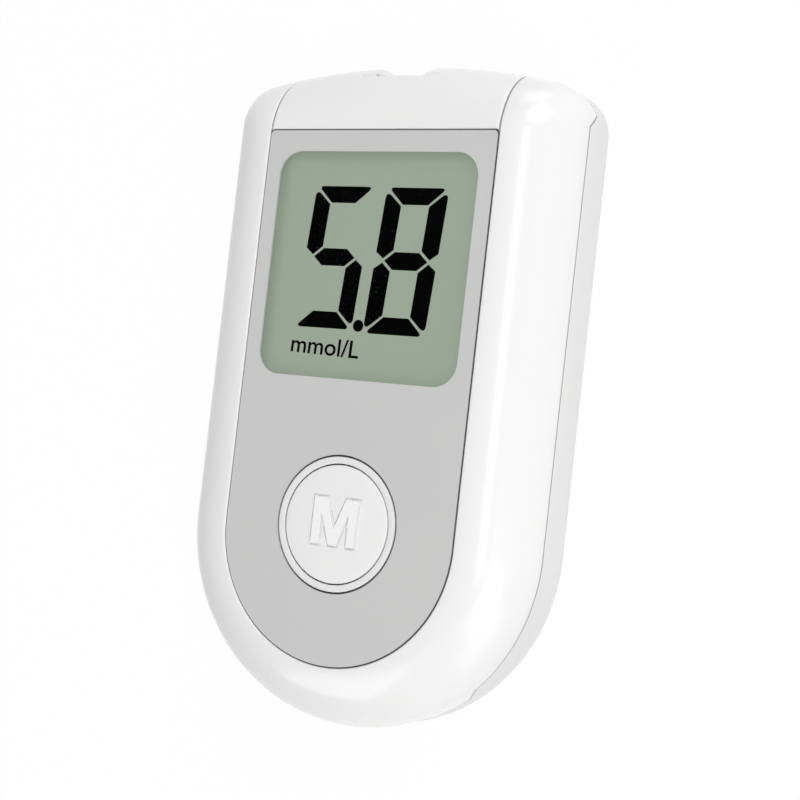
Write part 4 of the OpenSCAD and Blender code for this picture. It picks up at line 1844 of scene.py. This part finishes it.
@dataclass
class BatteryBay(SubAssembly):
    """Sliding door with its grip lines, and the coin cell."""

    door_wall: float = 1.5
    edge_width: float = 0.14
    # Corners of the block that clears what lies above the door
    clear_low: Point = (-20.0, -50.0)
    clear_high: Place = (20.0, 0.0, 9.0)
    grip_half_w: float = 6.0
    grip_line: float = 0.8
    grip_r: float = 0.38
    grip_depth: float = 0.4
    grip_past: float = 1.0
    grip_pitch: float = 1.8
    grip_start: float = -37.0
    grip_count: int = 5
    # The cell: a can with a crimped rim, and a cap that is stepped down beside it
    cell_z: float = 1.9
    cell_top_z: float = 5.1
    can_r: float = 10.0
    rim_r: float = 9.0
    rim_drop: float = 0.2
    step_r: float = 8.8
    step_drop: float = 0.35
    cap_r: float = 8.5

    # How far a corner of the cell's profile is rounded, by the corner's number
    CELL_ROUNDING = {1: 0.35, 2: 0.4, 6: 0.2}

    def build(self) -> None:
        """Builds the door and the cell."""
        self.build_door()
        self.build_cell()

    def build_door(self) -> None:
        """Cuts the door from the housing's skin and carves its grip lines."""
        housing = Housing()
        bm = housing.skin()
        housing.flat_back(bm)
        keep(bm, housing.door_cuts(bm, 0.0))
        face_outwards(bm)
        door = mesh_object(bm, "battery_door_moulding")
        wall(door, self.door_wall)
        settle(door)
        above = bmesh.new()
        box(above, (*self.clear_low, housing.door_t), self.clear_high)
        carve(door, above)
        grips = bmesh.new()
        for k in range(self.grip_count):
            y = self.grip_start + k * self.grip_pitch
            line = (-self.grip_half_w, y, self.grip_half_w, y + self.grip_line)
            verts = round_rect_ring(grips, line, -self.grip_past, self.grip_r)
            fill_up(grips, edges_of(verts), self.grip_past + self.grip_depth)
        carve(door, grips)
        soften(door, self.edge_width)
        self.add(door, GRAINED_ABS, "rear_white", "battery_door", body=Body.DOOR)

    def build_cell(self) -> None:
        """Turns the coin cell and rounds the corners of its can and its cap."""
        rim_z, step_z = self.cell_top_z - self.rim_drop, self.cell_top_z - self.step_drop
        profile = [
            (0, self.cell_z), (self.can_r, self.cell_z), (self.can_r, rim_z),
            (self.rim_r, rim_z), (self.step_r, step_z), (self.cap_r, step_z),
            (self.cap_r, self.cell_top_z), (0, self.cell_top_z),
        ]
        bm = bmesh.new()
        turned(bm, (0, CELL_Y), profile, self.CELL_ROUNDING)
        cell = mesh_object(bm, "coin_cell_can")
        self.add(cell, CELL_STEEL, "cell_steel", "coin_cell")


@dataclass
class Fasteners(SubAssembly):
    """Four case screws with pan heads and crossed recesses."""

    head_r: float = 1.9
    shank_r: float = 1.0
    head_z: float = 1.1
    seat_z: float = 2.4
    tip_z: float = 12.0
    cross_half_l: float = 1.0
    cross_half_w: float = 0.24
    cross_depth: float = 0.7
    cross_past: float = 0.5
    edge_width: float = 0.05

    # How far a corner of the profile is rounded, by the corner's number
    ROUNDING = {1: 0.5, 4: 0.3}

    def build(self) -> None:
        """Turns the screws and carves their recesses."""
        bm, tools = bmesh.new(), (bmesh.new(), bmesh.new())
        profile = [
            (0, self.head_z), (self.head_r, self.head_z), (self.head_r, self.seat_z),
            (self.shank_r, self.seat_z), (self.shank_r, self.tip_z), (0, self.tip_z),
        ]
        arm = (self.cross_half_l, self.cross_half_w)
        low_z, high_z = self.head_z - self.cross_past, self.head_z + self.cross_depth
        for x, y in Housing().screw_places():
            turned(bm, (x, y), profile, self.ROUNDING, SMALL_FACETS)
            for tool, (dx, dy) in zip(tools, (arm, arm[::-1])):
                box(tool, (x - dx, y - dy, low_z), (x + dx, y + dy, high_z))
        made = mesh_object(bm, "case_screw_set")
        for tool in tools:
            carve(made, tool)
        soften(made, self.edge_width, 2)
        self.add(made, SCREW_STEEL, "screw_steel", "case_screws")


@dataclass
class Innards(SubAssembly):
    """CAD nodes that stay as they are and take a finer finish."""

    finishes: dict[str, Finish] = field(
        default_factory=lambda: {
            "display_backing": BACKING_FILM,
            "display_holder": HOLDER_ABS,
            "contact_strips": STRIP_SILICONE,
            "switch_body": BLACK_NYLON,
            "switch_plunger": BLACK_NYLON,
            "circuit_board": BOARD_LAMINATE,
            "processor_chip": CHIP_EPOXY,
            "memory_chip": CHIP_EPOXY,
            "timing_crystal": TIN_PLATE,
            "strip_port": BLACK_NYLON,
            "strip_contacts": GOLD_PLATE,
            "sounder": BLACK_NYLON,
            "battery_spring": GOLD_PLATE,
            "battery_clip": GOLD_PLATE,
        }
    )

    def build(self) -> None:
        """Dresses each node."""
        for name, finish in self.finishes.items():
            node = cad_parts[name]
            node.data.materials.clear()
            node.data.materials.append(finish.material())
            self.pieces[name] = node


# ---------- studio ----------


@dataclass(frozen=True)
class SoftLight:
    """A rectangular studio light that faces the meter.

    Azimuth (from +X towards +Y) and elevation are in degrees, sizes in metres.
    """

    name: str
    azimuth: float
    elevation: float
    size: Point
    watts: float
    reach: float = 0.9

    def build(self, target: Vector) -> None:
        """Places the light so that it faces a point.

        Args:
            target: The point, in metres.
        """
        turn, tilt = math.radians(self.azimuth), math.radians(self.elevation)
        away = self.reach * Vector(
            (math.cos(tilt) * math.cos(turn), math.cos(tilt) * math.sin(turn), math.sin(tilt))
        )
        data = bpy.data.lights.new(self.name, "AREA")
        data.shape = "RECTANGLE"
        data.size, data.size_y = self.size
        data.energy = self.watts
        lamp = bpy.data.objects.new(self.name, data)
        bpy.context.scene.collection.objects.link(lamp)
        lamp.matrix_world = (
            Matrix.Translation(target + away)
            @ away.to_track_quat("Z", "Y").to_matrix().to_4x4()
        )


@dataclass
class Studio:
    """Pale floor, soft light and the camera."""

    # The camera's place, and its turns in degrees about Y, then X, then Z
    camera_place: Place = (109.85, -7.69, 196.73)
    yaw: float = -29.522
    pitch: float = -1.8962
    roll: float = -6.4401
    lens: float = 72.53
    world_level: float = 0.14
    floor_glow: float = 0.97
    floor_half: float = 4000.0
    floor_drop: float = 0.03
    target: Place = (0.0, 0.0, 8.0)
    lights: tuple[SoftLight, ...] = (
        SoftLight("strip_right", azimuth=10, elevation=70, size=(0.5, 0.1), watts=1.5),
        SoftLight("key_right", azimuth=330, elevation=40, size=(0.5, 0.5), watts=2.36),
        SoftLight("fill_right", azimuth=60, elevation=40, size=(0.5, 0.5), watts=2.99),
        SoftLight("fill_left", azimuth=240, elevation=40, size=(0.5, 0.5), watts=2.29),
        SoftLight("low_far", azimuth=90, elevation=12, size=(0.5, 0.5), watts=1.87),
        SoftLight("low_near", azimuth=315, elevation=12, size=(0.5, 0.5), watts=1.42),
    )

    def seen(self, tree: bpy.types.NodeTree) -> bpy.types.NodeSocket:
        """Adds the test that tells the rays apart.

        Args:
            tree: Node tree that takes the nodes.

        Returns:
            1 for rays that show the background, and 0 for ones that light.
        """
        rays = add_node(tree, "ShaderNodeLightPath")
        some = add_node(
            tree, "ShaderNodeMath", {"operation": "MAXIMUM"},
            {0: rays.outputs["Is Camera Ray"], 1: rays.outputs["Is Glossy Ray"]},
        )
        return add_node(
            tree, "ShaderNodeMath", {"operation": "MAXIMUM"},
            {0: some.outputs[0], 1: rays.outputs["Is Transmission Ray"]},
        ).outputs[0]

    def build_floor(self) -> None:
        """Makes a pale floor that looks white and keeps the meter's shadow."""
        bm = bmesh.new()
        bmesh.ops.create_grid(bm, x_segments=4, y_segments=4, size=self.floor_half)
        bmesh.ops.translate(bm, verts=bm.verts, vec=(0, 0, -self.floor_drop))
        floor = mesh_object(bm, "studio_floor")
        made = empty_material("paper_white")
        tree = made.node_tree
        matt = add_node(
            tree, "ShaderNodeBsdfDiffuse", {"Color": linear("#FAFAFA"), "Roughness": 0.0}
        )
        glow = add_node(
            tree, "ShaderNodeEmission", {"Color": linear("#FFFFFF"), "Strength": 1.0}
        )
        share = add_node(
            tree, "ShaderNodeMath", {"operation": "MULTIPLY", 1: self.floor_glow},
            {0: self.seen(tree)},
        )
        both = add_node(
            tree, "ShaderNodeMixShader",
            links={0: share.outputs[0], 1: matt.outputs[0], 2: glow.outputs[0]},
        )
        add_node(tree, "ShaderNodeOutputMaterial", links={"Surface": both.outputs[0]})
        floor.data.materials.append(made)

    def build_world(self) -> None:
        """Makes an even grey light that looks white."""
        world = bpy.data.worlds.new("studio_air")
        world.use_nodes = True
        tree = world.node_tree
        tree.nodes.clear()
        level = add_node(
            tree, "ShaderNodeMapRange", {"To Min": self.world_level, "To Max": 1.0},
            {"Value": self.seen(tree)},
        )
        air = add_node(
            tree, "ShaderNodeBackground", {"Color": linear("#FFFFFF")},
            {"Strength": level.outputs["Result"]},
        )
        add_node(tree, "ShaderNodeOutputWorld", links={"Surface": air.outputs[0]})
        bpy.context.scene.world = world

    def build_camera(self) -> None:
        """Places the camera above the face, to the right of the meter."""
        data = bpy.data.cameras.new("studio_camera")
        data.sensor_width = 36.0
        data.lens = self.lens
        data.clip_start, data.clip_end = 0.01, 20.0
        camera = bpy.data.objects.new("studio_camera", data)
        bpy.context.scene.collection.objects.link(camera)
        turn = (
            Matrix.Rotation(math.radians(self.roll), 3, "Z")
            @ Matrix.Rotation(math.radians(self.pitch), 3, "X")
            @ Matrix.Rotation(math.radians(self.yaw), 3, "Y")
        ).transposed()
        place = Vector(self.camera_place) * MM
        camera.matrix_world = Matrix.Translation(place) @ turn.to_4x4()
        bpy.context.scene.camera = camera

    def build(self) -> None:
        """Sets up the whole studio."""
        self.build_camera()
        self.build_floor()
        self.build_world()
        for light in self.lights:
            light.build(Vector(self.target) * MM)
        bpy.context.scene.view_settings.view_transform = "Standard"


def main() -> None:
    """Builds the studio and every sub-assembly, and reports each piece."""
    logging.basicConfig(level=logging.INFO, format="%(message)s")
    Studio().build()
    for group in (
        Housing(), FacePanel(), Display(), PushButton(), BatteryBay(), Fasteners(), Innards(),
    ):
        group.build()
        group.report()


if __name__ == "__main__":
    main()
